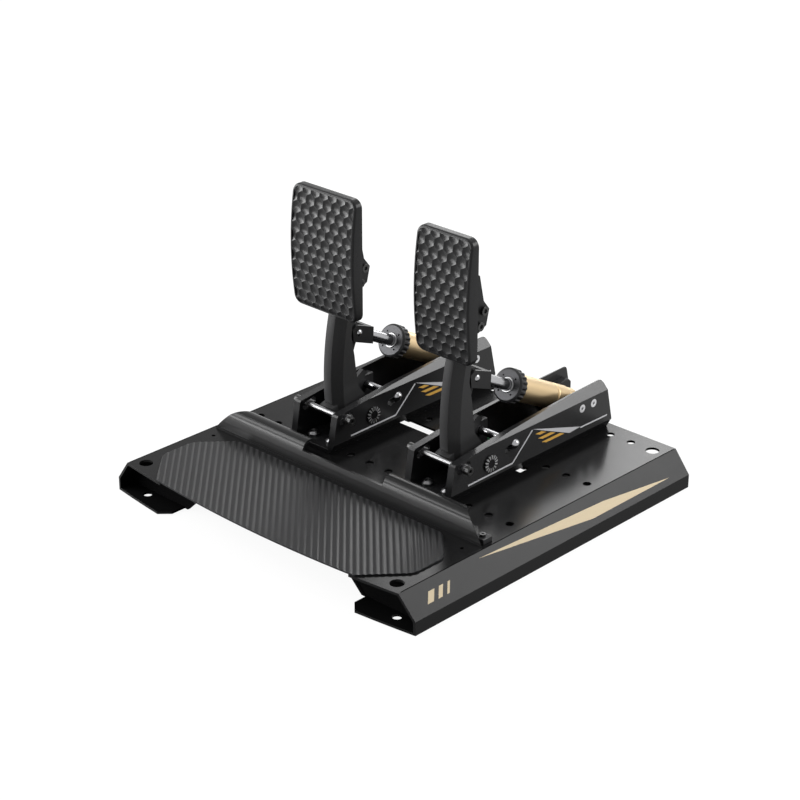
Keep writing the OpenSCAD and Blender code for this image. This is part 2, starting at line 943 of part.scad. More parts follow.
// Position sensor: a housing on the left wall, a board in its pocket and a cable socket

module sensor_housing() {
    x0 = -inner_x;
    y0 = module_y + housing_front;
    y1 = module_y + housing_rear;
    z0 = deck_h + housing_low;
    z1 = deck_h + housing_high;
    color("#141416")
    difference() {
        across_x(x0, x0 + housing_t)
            polygon([
                [y0, z0 + 6],
                [y0 + 6, z0],
                [y1, z0],
                [y1, z1],
                [y0, z1 - (y1 - y0) * 0.01]
            ]);
        translate([x0 - cut, y0 + pocket_wall, z0 + 6])
            cube([pocket_d + cut, pivot.x - y0 + 12, z1 - z0 - 6 - pocket_wall]);
        bar(pivot, axle_d + 2, x0 - cut, x0 + housing_t + cut);
        bar(rear_rod, rear_rod_d + 1, x0 - cut, x0 + housing_t + cut);
    }
}

module sensor_board_and_socket() {
    x0 = -inner_x;
    y0 = module_y + housing_front + pocket_wall + run_gap;
    y1 = module_y + housing_rear;
    z0 = deck_h + housing_low;
    difference() {
        translate([x0 + pocket_d - board_t, y0, z0 + 6 + run_gap])
            cube([board_t, pivot.x - y0 + 11, housing_high - housing_low - 9 - 3 * run_gap]);
        bar(pivot, axle_d + 2, x0 - cut, x0 + housing_t + cut);
    }
    difference() {
        translate([x0, y1, z0]) cube([socket_w_x, socket_len, socket_h]);
        translate([x0 + (socket_w_x - socket_hole) / 2, y1 + 1.5, z0 + (socket_h - socket_hole) / 2])
            cube([socket_hole, socket_len, socket_hole]);
    }
}

module sensor_boards() {
    color("#1f5a34")
    both_modules() sensor_board_and_socket();
}

module magnet() {
    x = -arm_w / 2;
    color("#77777b")
    difference() {
        bar(pivot, magnet_d, x - magnet_t, x);
        bar(pivot, axle_d + 1, x - magnet_t - cut, x + cut);
    }
}

// Pedal arm

// The blade's section, as [distance from the arc's centre, x]
module blade_section() {
    inner = arm_r - arm_d * 3;
    polygon([
        [arm_r, -arm_flat_w / 2],
        [arm_r, arm_flat_w / 2],
        [arm_r - flank_d, arm_w / 2],
        [inner, arm_w / 2],
        [inner, -arm_w / 2],
        [arm_r - flank_d, -arm_w / 2]
    ]);
}

module blade_ring() {
    translate([0, arm_centre.x, arm_centre.y])
        rotate([0, 90, 0])
            rotate_extrude($fn = 360) blade_section();
}

// Place on the arm's front curve at a height above the pivot, moved back by d
function on_arm(h, d) =
    [arm_centre.x - sqrt(pow(arm_r - d, 2) - pow(h - arm_mid_h, 2)), pivot.y + h];

blade_top_h = 121;
blade_low_h = 7;

module blade_outline() {
    polygon([
        [on_arm(blade_top_h, 0).x - 6, pivot.y + blade_top_h],
        on_arm(blade_top_h, arm_d * 0.58),
        on_arm(84.3, arm_d * 0.71),
        on_arm(62, arm_d * 0.98),
        on_arm(46.5, arm_d * 1.09),
        on_arm(27.8, arm_d * 1.2),
        pivot + polar(hub_r, 28),
        pivot + polar(hub_r, 90),
        pivot,
        pivot + polar(hub_r, 215),
        [on_arm(blade_low_h, 0).x + 6.5, pivot.y + 2],
        [on_arm(blade_low_h, 0).x + 3, pivot.y + blade_low_h + 1],
        [on_arm(blade_low_h, 0).x + 0.4, pivot.y + blade_low_h + 6],
        [on_arm(blade_low_h, 0).x - 4, pivot.y + blade_low_h + 12]
    ]);
}

// Rear rib with the lug for the clevis pin
module rib_outline() {
    rib = 4;
    polygon([
        on_arm(blade_top_h, arm_d * 0.4),
        on_arm(blade_top_h, arm_d * 0.58 + rib * 0.6),
        on_arm(98, arm_d * 0.64 + rib),
        pin + [2, 8.5],
        pin + [6.5, 4],
        pin + [7.3, 0],
        pin + [6, -4.5],
        pin + [0, -8.5],
        on_arm(62, arm_d * 0.98 + rib),
        on_arm(46.5, arm_d * 1.09 + rib),
        on_arm(27.8, arm_d * 1.2 + rib),
        pivot + polar(hub_r, 20),
        pivot,
        on_arm(27.8, arm_d * 0.5),
        on_arm(62, arm_d * 0.4)
    ]);
}

module tongue_outline() {
    polygon([
        on_arm(blade_top_h - 2, 5),
        on_arm(blade_top_h - 2, 13),
        on_arm(tongue_h - 28, 24),
        on_arm(tongue_h - 11, 24),
        on_arm(tongue_h - 6, 23),
        on_arm(tongue_h, 14),
        on_arm(tongue_h, 9),
        on_arm(tongue_h - 31, 5)
    ]);
}

// The toe rests on the front stop rod
module toe_outline() {
    reach = front_rod_d / 2 + run_gap;
    touch = front_rod + polar(reach, 25);
    polygon([
        touch + polar(1.4, 115),
        touch + polar(2.4, -65),
        [pivot.x - hub_r, pivot.y - 4],
        pivot,
        [on_arm(blade_low_h, 0).x + 8, pivot.y + blade_low_h + 8]
    ]);
}

// The stop lug meets the rear stop rod at full travel
module stop_lug_outline() {
    reach = norm(rear_rod - pivot);
    rest = atan2(rear_rod.y - pivot.y, rear_rod.x - pivot.x)
        + press_travel + asin((rear_rod_d / 2 + run_gap) / reach);
    polygon([
        pivot,
        pivot + polar(reach + 3, rest),
        pivot + polar(reach + 2, rest + 12),
        pivot + polar(hub_r, rest + 50)
    ]);
}

function bracket_bolt(below) = on_arm(tongue_h - below, bracket_bolt_in);

module arm() {
    color("#2f2f33")
    difference() {
        union() {
            intersection() {
                blade_ring();
                across_x(-arm_w, arm_w) blade_outline();
            }
            bar(pivot, 2 * hub_r, -arm_w / 2, arm_w / 2);
            across_x(-lug_w / 2, lug_w / 2) rib_outline();
            across_x(-tongue_w / 2, tongue_w / 2) tongue_outline();
            across_x(-9, 9) toe_outline();
            across_x(-arm_w / 2, -arm_w / 2 + 4.5) stop_lug_outline();
        }
        bar(pivot, bush_d + 2 * fit, -arm_w, arm_w);
        bar(pin, pin_d + 2 * lug_gap, -arm_w, arm_w);
        for (below = bracket_bolt_below)
            bar(bracket_bolt(below), bracket_bolt_d + 2 * fit, -arm_w, arm_w);
    }
}

module arm_bushes() {
    flange = 1;
    color("#a07b3c")
    both_sides()
        difference() {
            bar(pivot, bush_d, flange, arm_w / 2);
            bar(pivot, axle_d + 2 * fit, flange - cut, arm_w);
        }
}

// Clevis, its pin and the damper rod

module in_clevis() {
    translate([0, pin.x, pin.y]) rotate([-clevis_tilt, 0, 0]) children();
}

clevis_nose = 11;
clevis_up = 7.6;
clevis_down = 9.9;
clevis_back_low = 24.2;
clevis_back_high = 19.1;
clevis_slot_depth = 9.5;

module clevis_outline() {
    polygon([
        [-clevis_nose * 0.52, clevis_up],
        [-clevis_nose, clevis_up * 0.23],
        [-clevis_nose * 0.48, -clevis_down],
        [clevis_back_low, -clevis_down],
        [clevis_back_high, clevis_up]
    ]);
}

module clevis() {
    slot_half = lug_w / 2 + run_gap;
    color("#161618")
    difference() {
        in_clevis() across_x(-clevis_w / 2, clevis_w / 2) clevis_outline();
        in_clevis()
            translate([-slot_half, -clevis_nose - cut, -2 * clevis_down])
                cube([2 * slot_half, clevis_nose + clevis_slot_depth + cut, 4 * clevis_down]);
        bar(pin, pin_d + 2 * fit, -clevis_w, clevis_w);
        along_damper() translate([0, 0, clevis_slot_depth + 2.5]) cylinder(h = 40, d = rod_d + 2 * fit);
    }
}

pin_head_d = 7.4;
pin_head_t = 1.8;

module clevis_pin() {
    color("#bdbdc1")
    union() {
        bar(pin, pin_d, -clevis_w / 2, clevis_w / 2);
        both_sides() dome(pin, clevis_w / 2, pin_head_d, pin_head_t);
    }
}

rod_start = clevis_slot_depth + 3;
rod_end = collar_s + 19;

module damper_rod() {
    color("#d2d2d6")
    along_damper()
        union() {
            translate([0, 0, rod_start]) cylinder(h = rod_end - rod_start, d = rod_d);
            translate([0, 0, collar_s]) cylinder(h = collar_t, r = cavity_r - run_gap);
        }
}

// Damper: bush, preload ring, sleeve, stepped tail and end cap

module rod_bush() {
    color("#d8d8dc")
    along_damper()
        difference() {
            translate([0, 0, ring_s - 0.8])
                cylinder(h = cavity_s - ring_s + 0.8, r = rod_bush_r);
            translate([0, 0, ring_s - 2]) cylinder(h = 40, d = rod_d + 4 * fit);
        }
}

module preload_ring() {
    r = ring_d / 2;
    color("#3b3b40")
    along_damper()
        difference() {
            union() {
                translate([0, 0, ring_s + 1.5]) cylinder(h = ring_t - 2.5, r = r);
                translate([0, 0, ring_s]) cylinder(h = 1.5, r1 = r - 2, r2 = r);
                translate([0, 0, ring_end - 1]) cylinder(h = 1, r1 = r, r2 = r - 1);
            }
            translate([0, 0, ring_s - cut]) cylinder(h = ring_t, r = rod_bush_r + run_gap);
            translate([0, 0, ring_s + lip_t]) cylinder(h = ring_t, r = neck_r + 2 * fit);
            for (i = [1:ring_notches])
                rotate([0, 0, i * 360 / ring_notches])
                    translate([r + 0.4, 0, ring_s + 2.6])
                        cylinder(h = ring_t, d = r * 0.22);
            for (i = [0:3])
                rotate([0, 0, 45 + i * 90])
                    translate([neck_r + 1.2, 0, ring_s - cut]) cylinder(h = cut + 1.2, d = 1.9);
        }
}

module damper_sleeve() {
    r = sleeve_d / 2;
    color("#c9a46a")
    along_damper()
        difference() {
            union() {
                translate([0, 0, ring_s + lip_t + run_gap])
                    cylinder(h = shoulder_s - ring_s, r = neck_r);
                translate([0, 0, shoulder_s]) cylinder(h = sleeve_len - 2, r = r);
                translate([0, 0, sleeve_end - 2]) cylinder(h = 2, r1 = r, r2 = r - 1.3);
            }
            translate([0, 0, ring_s]) cylinder(h = 40, r = rod_bush_r + fit);
            translate([0, 0, cavity_s]) cylinder(h = sleeve_len, r = cavity_r);
        }
}

// Two steps, each with rounded shoulders
module damper_tail() {
    r = sleeve_d / 2;
    step = tail_len * 0.62;
    color("#c9a46a")
    along_damper()
        translate([0, 0, sleeve_end])
            rotate_extrude()
                polygon([
                    [0, 0],
                    [r - 1.3, 0],
                    [r, 1.2],
                    [r, step - 2.4],
                    [r - 0.5, step - 1],
                    [r - 1.4, step],
                    [r - 0.7, step + 1],
                    [r - 0.7, tail_len - 2.2],
                    [r - 1.2, tail_len - 0.8],
                    [r - 2, tail_len],
                    [0, tail_len]
                ]);
}

module end_cap() {
    r = sleeve_d / 2 - 2;
    eye_r = 8;
    eye_w = 20;
    color("#77777b")
    difference() {
        union() {
            along_damper() {
                translate([0, 0, tail_end]) cylinder(h = cap_len, r1 = r, r2 = r - 3);
                translate([-eye_w / 4, -eye_r / 1.3, tail_end + cap_len / 2])
                    cube([eye_w / 2, 2 * eye_r / 1.3, damper_len - tail_end - cap_len / 2]);
            }
            bar(rear_axle, 2 * eye_r, -eye_w / 2, eye_w / 2);
        }
        bar(rear_axle, rear_axle_d + 2 * fit, -eye_w, eye_w);
    }
}

// Throttle spring: one unbroken wire between the rod's collar and the tail

spring_rings = 8;
spring_sides = 6;
spring_r = (cavity_r + rod_d / 2) / 2;
spring_s0 = stack_s + spring_wire / 2 + run_gap;
spring_s1 = sleeve_end - spring_wire / 2 - run_gap;

function spring_point(i, n) =
    let (turn = 360 * spring_coils * i / n)
    [spring_r * cos(turn), spring_r * sin(turn), spring_s0 + (spring_s1 - spring_s0) * i / n];

function spring_ring(i, n) =
    let (c = spring_point(i, n),
         ahead = unit(spring_point(i + 0.5, n) - spring_point(i - 0.5, n)),
         out = unit([c.x, c.y, 0]),
         side = cross(ahead, out))
    [for (k = [0:spring_sides - 1])
        c + (spring_wire / 2) * (cos(k * 360 / spring_sides) * out + sin(k * 360 / spring_sides) * side)];

module throttle_spring() {
    n = spring_coils * spring_rings;
    points = [for (i = [0:n]) each spring_ring(i, n)];
    gap = min([for (i = [0:spring_rings - 1], k = [0:spring_rings])
        norm(spring_point(i, n) - spring_point(i + spring_rings + k - 4, n))]) - spring_wire;
    echo(spring_gap_to_itself = gap);
    m = spring_sides;
    faces = concat(
        [[for (k = [m - 1:-1:0]) k]],
        [for (i = [0:n - 1], k = [0:m - 1]) [i * m + k, i * m + (k + 1) % m, (i + 1) * m + (k + 1) % m]],
        [for (i = [0:n - 1], k = [0:m - 1]) [i * m + k, (i + 1) * m + (k + 1) % m, (i + 1) * m + k]],
        [[for (k = [0:m - 1]) n * m + k]]
    );
    color("#9a9a9e")
    along_damper() polyhedron(points, faces);
}

// Brake: a stack of elastomer discs in front of a load cell

module brake_elastomers() {
    length = stack_end - stack_s;
    each_t = length / elastomers;
    color("#7a2f22")
    along_damper()
        for (i = [0:elastomers - 1])
            translate([0, 0, stack_s + i * each_t])
                difference() {
                    cylinder(h = each_t - run_gap / 2, r = cavity_r - run_gap);
                    translate([0, 0, -cut]) cylinder(h = each_t + 2 * cut, d = rod_d + 1);
                }
}

module load_cell() {
    color("#a8a8ac")
    along_damper()
        difference() {
            translate([0, 0, stack_end]) cylinder(h = cell_t, r = cavity_r - run_gap);
            translate([0, 0, stack_end - cut]) cylinder(h = cell_t / 2 + cut, d = rod_d + 1);
        }
}

// Pads and their bracket

module rounded_rectangle(w, h, r) {
    square([w - 2 * r, h], center = true);
    square([w, h - 2 * r], center = true);
    for (x = [-1, 1])
        for (y = [-1, 1])
            translate([x * (w / 2 - r), y * (h / 2 - r)]) circle(r = r);
}

module pad(w) {
    back = pivot.x - pad_back;
    front = back - pad_t;
    mid = pivot.y + pad_mid_h;
    color("#1e1e21")
    difference() {
        intersection() {
            translate([0, back, mid])
                rotate([90, 0, 0])
                    linear_extrude(pad_t + cut) rounded_rectangle(w, pad_h, pad_corner);
            translate([-w, front + pad_face_r, mid - pad_crown_low])
                rotate([0, 90, 0]) cylinder(h = 2 * w, r = pad_face_r, $fn = 180);
        }
        for (x = [-1, 1])
            for (row = pad_screw_rows)
                translate([x * pad_screw_x, back - 6, mid + row])
                    rotate([-90, 0, 0]) cylinder(h = 6 + cut, d = pad_screw_d + 2 * fit);
    }
}

// One ear, seen from the side: from the plate back to the lobe around the bolt holes
module ear_outline() {
    back = pivot.x - pad_back;
    mid = pivot.y + pad_mid_h;
    lower = bracket_bolt(bracket_bolt_below[0]);
    upper = bracket_bolt(bracket_bolt_below[1]);
    polygon([
        [back, mid + plate_low + 2],
        [back, mid + plate_high],
        [back + 12, mid + plate_high - 1],
        upper + [-5.3, 36.6],
        upper + [0.7, 9.6],
        upper + [8.7, -0.4],
        lower + [10.4, -2.1],
        lower + [-0.6, -7.1]
    ]);
}

module pad_bracket() {
    back = pivot.x - pad_back;
    mid = pivot.y + pad_mid_h;
    color("#1b1b1d")
    difference() {
        union() {
            translate([-plate_w / 2, back, mid + plate_low])
                cube([plate_w, bracket_t, plate_high - plate_low]);
            both_sides()
                across_x(bracket_w / 2 - bracket_t, bracket_w / 2) ear_outline();
        }
        for (below = bracket_bolt_below)
            bar(bracket_bolt(below), bracket_bolt_d + 2 * fit, -bracket_w, bracket_w);
        for (x = [-1, 1])
            for (row = pad_screw_rows)
                translate([x * pad_screw_x, back - cut, mid + row])
                    rotate([-90, 0, 0]) cylinder(h = bracket_t + 2 * cut, d = pad_screw_d + 2 * fit);
    }
}

module pad_screws() {
    back = pivot.x - pad_back;
    mid = pivot.y + pad_mid_h;
    color("#8c8c90") {
        for (x = [-1, 1])
            for (row = pad_screw_rows)
                translate([x * pad_screw_x, back, mid + row])
                    rotate([-90, 0, 0]) {
                        translate([0, 0, -6]) cylinder(h = 6 + bracket_t + cut / 2, d = pad_screw_d);
                        difference() {
                            translate([0, 0, bracket_t]) cylinder(h = 2.4, d = pad_screw_head);
                            translate([0, 0, bracket_t + 1.2]) cylinder(h = 2, d = 2.9, $fn = 6);
                        }
                    }
        for (below = bracket_bolt_below)
            let (place = bracket_bolt(below)) {
                bar(place, bracket_bolt_d, -bracket_w / 2, bracket_w / 2);
                both_sides()
                    difference() {
                        bar(place, bracket_bolt_head, bracket_w / 2, bracket_w / 2 + 3);
                        translate([bracket_w / 2 + 1.4, place.x, place.y])
                            rotate([0, 90, 0]) cylinder(h = 3, d = 4.6, $fn = 6);
                    }
            }
    }
}

brake_x = -module_x;
throttle_x = module_x;

base_plate();
heel_mat();
heel_rest();
heel_rest_feet();
heel_rest_screws();
module_bolts();
pivot_discs();
countersunk_screws();
front_rod_screws();
rear_rod_bolts();
sensor_boards();
at_module(brake_x) load_cell();  // brake_load_cell
at_module(brake_x) left_wall();  // brake_left_wall
at_module(brake_x) right_wall();  // brake_right_wall
at_module(brake_x) channel_floor();  // brake_floor
at_module(brake_x) sensor_housing();  // brake_sensor_housing
at_module(brake_x) pivot_axle();  // brake_pivot_axle
at_module(brake_x) front_stop_rod();  // brake_front_rod
at_module(brake_x) rear_stop_rod();  // brake_rear_rod
at_module(brake_x) rear_blocks();  // brake_rear_blocks
at_module(brake_x) rear_axle_pin();  // brake_rear_axle
at_module(brake_x) arm();  // brake_arm
at_module(brake_x) arm_bushes();  // brake_arm_bushes
at_module(brake_x) magnet();  // brake_magnet
at_module(brake_x) pad_bracket();  // brake_pad_bracket
at_module(brake_x) pad(brake_pad_w);  // brake_pad
at_module(brake_x) pad_screws();  // brake_pad_screws
at_module(brake_x) clevis();  // brake_clevis
at_module(brake_x) clevis_pin();  // brake_clevis_pin
at_module(brake_x) damper_rod();  // brake_damper_rod
at_module(brake_x) rod_bush();  // brake_rod_bush
at_module(brake_x) damper_sleeve();  // brake_damper_sleeve
at_module(brake_x) damper_tail();  // brake_damper_tail
at_module(brake_x) end_cap();  // brake_end_cap
at_module(brake_x) brake_elastomers();
at_module(brake_x) preload_ring();  // brake_preload_ring
at_module(throttle_x) left_wall();  // throttle_left_wall
at_module(throttle_x) right_wall();  // throttle_right_wall
at_module(throttle_x) channel_floor();  // throttle_floor
at_module(throttle_x) sensor_housing();  // throttle_sensor_housing
at_module(throttle_x) pivot_axle();  // throttle_pivot_axle
at_module(throttle_x) front_stop_rod();  // throttle_front_rod
at_module(throttle_x) rear_stop_rod();  // throttle_rear_rod
at_module(throttle_x) rear_blocks();  // throttle_rear_blocks
at_module(throttle_x) rear_axle_pin();  // throttle_rear_axle
at_module(throttle_x) arm();  // throttle_arm
at_module(throttle_x) arm_bushes();  // throttle_arm_bushes
at_module(throttle_x) magnet();  // throttle_magnet
at_module(throttle_x) pad_bracket();  // throttle_pad_bracket
at_module(throttle_x) pad(throttle_pad_w);  // throttle_pad
at_module(throttle_x) pad_screws();  // throttle_pad_screws
at_module(throttle_x) clevis();  // throttle_clevis
at_module(throttle_x) clevis_pin();  // throttle_clevis_pin
at_module(throttle_x) damper_rod();  // throttle_damper_rod
at_module(throttle_x) rod_bush();  // throttle_rod_bush
at_module(throttle_x) damper_sleeve();  // throttle_damper_sleeve
at_module(throttle_x) damper_tail();  // throttle_damper_tail
at_module(throttle_x) end_cap();  // throttle_end_cap
at_module(throttle_x) throttle_spring();
at_module(throttle_x) preload_ring();  // throttle_preload_ring
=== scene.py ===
"""Looks of the sim racing pedal set: rounded metal parts, dimpled pads, ribbed mat, paint and light."""

import json
import math

import bmesh
import bpy
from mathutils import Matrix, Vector

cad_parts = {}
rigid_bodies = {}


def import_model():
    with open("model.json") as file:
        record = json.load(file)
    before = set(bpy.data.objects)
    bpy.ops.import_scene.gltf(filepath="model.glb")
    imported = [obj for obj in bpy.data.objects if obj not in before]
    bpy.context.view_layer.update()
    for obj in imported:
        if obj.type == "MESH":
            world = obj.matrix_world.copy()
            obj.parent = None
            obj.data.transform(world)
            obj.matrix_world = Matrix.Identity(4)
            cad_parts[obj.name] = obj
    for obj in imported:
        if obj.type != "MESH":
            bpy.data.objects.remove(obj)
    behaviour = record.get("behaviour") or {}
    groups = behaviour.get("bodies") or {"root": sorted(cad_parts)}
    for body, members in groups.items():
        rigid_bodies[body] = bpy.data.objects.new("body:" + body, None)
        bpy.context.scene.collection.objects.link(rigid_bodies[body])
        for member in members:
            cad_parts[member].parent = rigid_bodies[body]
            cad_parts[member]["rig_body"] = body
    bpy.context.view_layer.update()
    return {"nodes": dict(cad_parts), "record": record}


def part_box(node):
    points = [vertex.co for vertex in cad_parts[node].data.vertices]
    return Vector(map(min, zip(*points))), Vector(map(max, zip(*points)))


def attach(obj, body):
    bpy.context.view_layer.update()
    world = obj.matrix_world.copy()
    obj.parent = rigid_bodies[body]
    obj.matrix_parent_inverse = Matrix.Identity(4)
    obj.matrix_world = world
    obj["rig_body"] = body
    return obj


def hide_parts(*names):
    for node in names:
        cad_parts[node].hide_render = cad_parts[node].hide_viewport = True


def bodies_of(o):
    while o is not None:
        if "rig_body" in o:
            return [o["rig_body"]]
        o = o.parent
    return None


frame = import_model()

MM = 0.001
SIDES = ("brake", "throttle")


def middle(node):
    low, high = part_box(node)
    return (low + high) / 2


# Places in the frame: the first in millimetres, the others taken from it
BASE_FRONT_CORNER = -192.5
deck_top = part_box("base_plate")[1].z
pivot = middle("brake_pivot_axle")
damper_from = middle("throttle_preload_ring")
damper_axis = (middle("throttle_damper_tail") - damper_from).normalized()
slot_of = {part["node"]: part["material_slot"] for part in frame["record"]["subparts"]}
body_of = {node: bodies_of(shown)[0] for node, shown in frame["nodes"].items()}


# Shader maths

class Value:
    """A number socket, so that shader maths reads as an expression."""

    def __init__(self, nodes, socket):
        self.nodes = nodes
        self.socket = socket

    def maths(self, operation, *others, clamp=False):
        return self.nodes.maths(operation, self, *others, clamp=clamp)

    def __add__(self, other):
        return self.maths("ADD", other)

    __radd__ = __add__

    def __sub__(self, other):
        return self.maths("SUBTRACT", other)

    def __rsub__(self, other):
        return self.nodes.maths("SUBTRACT", other, self)

    def __mul__(self, other):
        return self.maths("MULTIPLY", other)

    __rmul__ = __mul__

    def __truediv__(self, other):
        return self.maths("DIVIDE", other)

    def __rtruediv__(self, other):
        return self.nodes.maths("DIVIDE", other, self)

    def __gt__(self, other):
        return self.maths("GREATER_THAN", other)

    def __lt__(self, other):
        return self.maths("LESS_THAN", other)

    def clamped(self):
        """The value kept between 0 and 1."""
        return self.maths("ADD", 0.0, clamp=True)


class Nodes:
    """The nodes of one finish, or of the studio's world, while they are put together."""

    def __init__(self, owner):
        owner.use_nodes = True
        self.owner = owner
        self.tree = owner.node_tree
        self.tree.nodes.clear()

    def feed(self, socket, value):
        """Links a socket to what varies, or sets it to what doesn't."""
        if isinstance(value, Value):
            value = value.socket
        if isinstance(value, bpy.types.NodeSocket):
            self.tree.links.new(value, socket)
        else:
            socket.default_value = value

    def add(self, kind, settings=None, inputs=None):
        made = self.tree.nodes.new(kind)
        for name, value in (settings or {}).items():
            setattr(made, name, value)
        for name, value in (inputs or {}).items():
            self.feed(made.inputs[name], value)
        return made

    def maths(self, operation, *values, clamp=False):
        settings = {"operation": operation, "use_clamp": clamp}
        return Value(self, self.add("ShaderNodeMath", settings, dict(enumerate(values))).outputs[0])

    def background_rays(self):
        """1 for the rays that show the white background: those of the camera, of gloss and of glass."""
        rays = self.add("ShaderNodeLightPath").outputs
        seen = Value(self, rays["Is Camera Ray"])
        for kind in ("Is Glossy Ray", "Is Transmission Ray"):
            seen = seen.maths("MAXIMUM", rays[kind])
        return seen

    def mixed_shader(self, factor, low, high):
        """Shader that goes from low to high as the factor goes from 0 to 1."""
        return self.add("ShaderNodeMixShader", inputs={0: factor, 1: low.outputs[0], 2: high.outputs[0]})


class Finish(Nodes):
    """One material under construction."""

    def __init__(self, name):
        super().__init__(bpy.data.materials.new(name))
        self.place = self.add("ShaderNodeTexCoord").outputs["Object"]

    def noise(self, per_metre, detail=3.0):
        """Noise from 0 to 1 with the given number of features a metre."""
        made = self.add("ShaderNodeTexNoise", inputs={
            "Vector": self.place, "Scale": per_metre, "Detail": detail, "Roughness": 0.55})
        return Value(self, made.outputs[0])

    def turned_lines(self, per_metre, start, axis):
        """Noise from 0 to 1 that changes only along an axis, as lines turned around it do."""
        made = self.add("ShaderNodeTexNoise", {"noise_dimensions": "1D"}, {
            "W": self.along(start, axis), "Scale": per_metre, "Detail": 2.0})
        return Value(self, made.outputs[0])

    def along(self, start, direction):
        """Distance from a point along a direction, in metres."""
        shifted = self.add("ShaderNodeVectorMath", {"operation": "SUBTRACT"}, {0: self.place, 1: start})
        made = self.add("ShaderNodeVectorMath", {"operation": "DOT_PRODUCT"},
                        {0: shifted.outputs[0], 1: direction})
        return Value(self, made.outputs["Value"])

    def mixed(self, factor, low, high):
        """Colour that goes from low to high as the factor goes from 0 to 1."""
        made = self.add("ShaderNodeMix", {"data_type": "RGBA"})
        self.feed(made.inputs["Factor"], factor)
        self.feed(made.inputs[6], (*low, 1.0))
        self.feed(made.inputs[7], (*high, 1.0))
        return made.outputs[2]

    def bump(self, height, depth):
        """Normal of a relief that is depth metres high where height is 1."""
        return self.add("ShaderNodeBump", inputs={"Height": height, "Distance": depth}).outputs["Normal"]

    def finish(self, **inputs):
        """Ends the tree in one Principled shader; names use _ for a space."""
        shader = self.add("ShaderNodeBsdfPrincipled")
        for name, value in inputs.items():
            self.feed(shader.inputs[name.replace("_", " ")], value)
        self.add("ShaderNodeOutputMaterial", inputs={"Surface": shader.outputs[0]})
        return self.owner


def shade(colour, factor):
    return tuple(channel * factor for channel in colour)


# Finishes

# Height of the grain in the black paint
GRAIN = 0.012 * MM
# Radius of the crown across the front of a pedal arm
ARM_CROWN = 19 * MM


def satin_black(name, colour, roughness, sheen):
    """Black powder coat or anodising: fine grain, slow drift of tone and a faint handled haze."""
    f = Finish(name)
    drift = f.noise(9.0, detail=2.0)
    haze = f.noise(60.0, detail=4.0)
    speck = f.noise(1500.0, detail=2.0)
    tone = (drift * 0.6 + speck * 0.4).clamped()
    return f.finish(
        Base_Color=f.mixed(tone, shade(colour, 0.75), shade(colour, 1.3)),
        Roughness=roughness - 0.04 + haze * 0.05 + speck * 0.05,
        Specular_IOR_Level=sheen,
        Normal=f.bump(speck, GRAIN))


def arm_paint(side):
    """Satin black on a bar whose front is crowned across its width, so it darkens to the right."""
    f = Finish(side + "_arm_black")
    haze = f.noise(60.0, detail=4.0)
    speck = f.noise(1500.0, detail=2.0)
    across = f.along(middle(side + "_floor"), (1, 0, 0)) / ARM_CROWN
    crown = across * across * (ARM_CROWN / MM / 2)
    return f.finish(
        Base_Color=f.mixed(speck, (0.026, 0.026, 0.0265), (0.046, 0.046, 0.047)),
        Roughness=0.28 + haze * 0.05 + speck * 0.05,
        Specular_IOR_Level=0.1,
        Normal=f.bump(speck * (GRAIN / MM) - crown, MM))


def ribbed_rubber():
    """Dark rubber with a fine matt tooth and a little dust in its tone."""
    f = Finish("mat_rubber")
    tooth = f.noise(1800.0, detail=3.0)
    dust = f.noise(25.0, detail=5.0)
    tone = (dust * 0.7 + tooth * 0.3).clamped()
    return f.finish(
        Base_Color=f.mixed(tone, (0.01, 0.01, 0.0105), (0.02, 0.02, 0.021)),
        Roughness=0.29 + tooth * 0.1 + dust * 0.05,
        Specular_IOR_Level=0.1,
        Normal=f.bump(tooth, 0.03 * MM))


def polished_steel(name, colour, roughness, start=(0, 0, 0), axis=(1, 0, 0)):
    """Steel with fine lines turned around an axis and a faint haze."""
    f = Finish(name)
    turned = f.turned_lines(2500.0, start, axis)
    haze = f.noise(45.0, detail=4.0)
    return f.finish(
        Base_Color=f.mixed(haze, shade(colour, 0.88), colour),
        Metallic=1.0,
        Roughness=roughness - 0.03 + haze * 0.05 + turned * 0.05,
        Normal=f.bump(turned, 0.006 * MM))


def gold_anodised(name, start, axis):
    """Champagne gold anodised aluminium, turned fine and then blasted satin."""
    f = Finish(name)
    turned = f.turned_lines(1800.0, start, axis)
    grain = f.noise(1600.0, detail=2.0)
    drift = f.noise(30.0, detail=2.0)
    tone = (drift * 0.7 + turned * 0.3).clamped()
    return f.finish(
        Base_Color=f.mixed(tone, (0.53, 0.385, 0.21), (0.61, 0.475, 0.285)),
        Metallic=0.85,
        Roughness=0.3 + grain * 0.06 + turned * 0.04,
        Specular_IOR_Level=0.5,
        Normal=f.bump(grain * 0.6 + turned * 0.4, 0.008 * MM))


def serrated_steel(axle, inner, outer, teeth):
    """Dark steel whose rim is serrated around the axle, with painted highlights on the tooth tops."""
    f = Finish("serrated_steel")
    across = f.along(axle, (0, 1, 0))
    up = f.along(axle, (0, 0, 1))
    reach = (across * across + up * up).maths("SQRT")
    tooth = (up.maths("ARCTAN2", across) * float(teeth)).maths("SINE")
    rim = (reach > inner) * (reach < outer)
    # The rim's colour is lighter on the tooth tops: painted highlight
    tooth_highlight = (rim * (0.5 + tooth * 1.5)).clamped()
    haze = f.noise(300.0)
    return f.finish(
        Base_Color=f.mixed(tooth_highlight, (0.02, 0.02, 0.021), (0.5, 0.5, 0.505)),
        Metallic=1.0,
        Roughness=0.34 + haze * 0.08,
        Normal=f.bump(rim * tooth, 0.15 * MM))


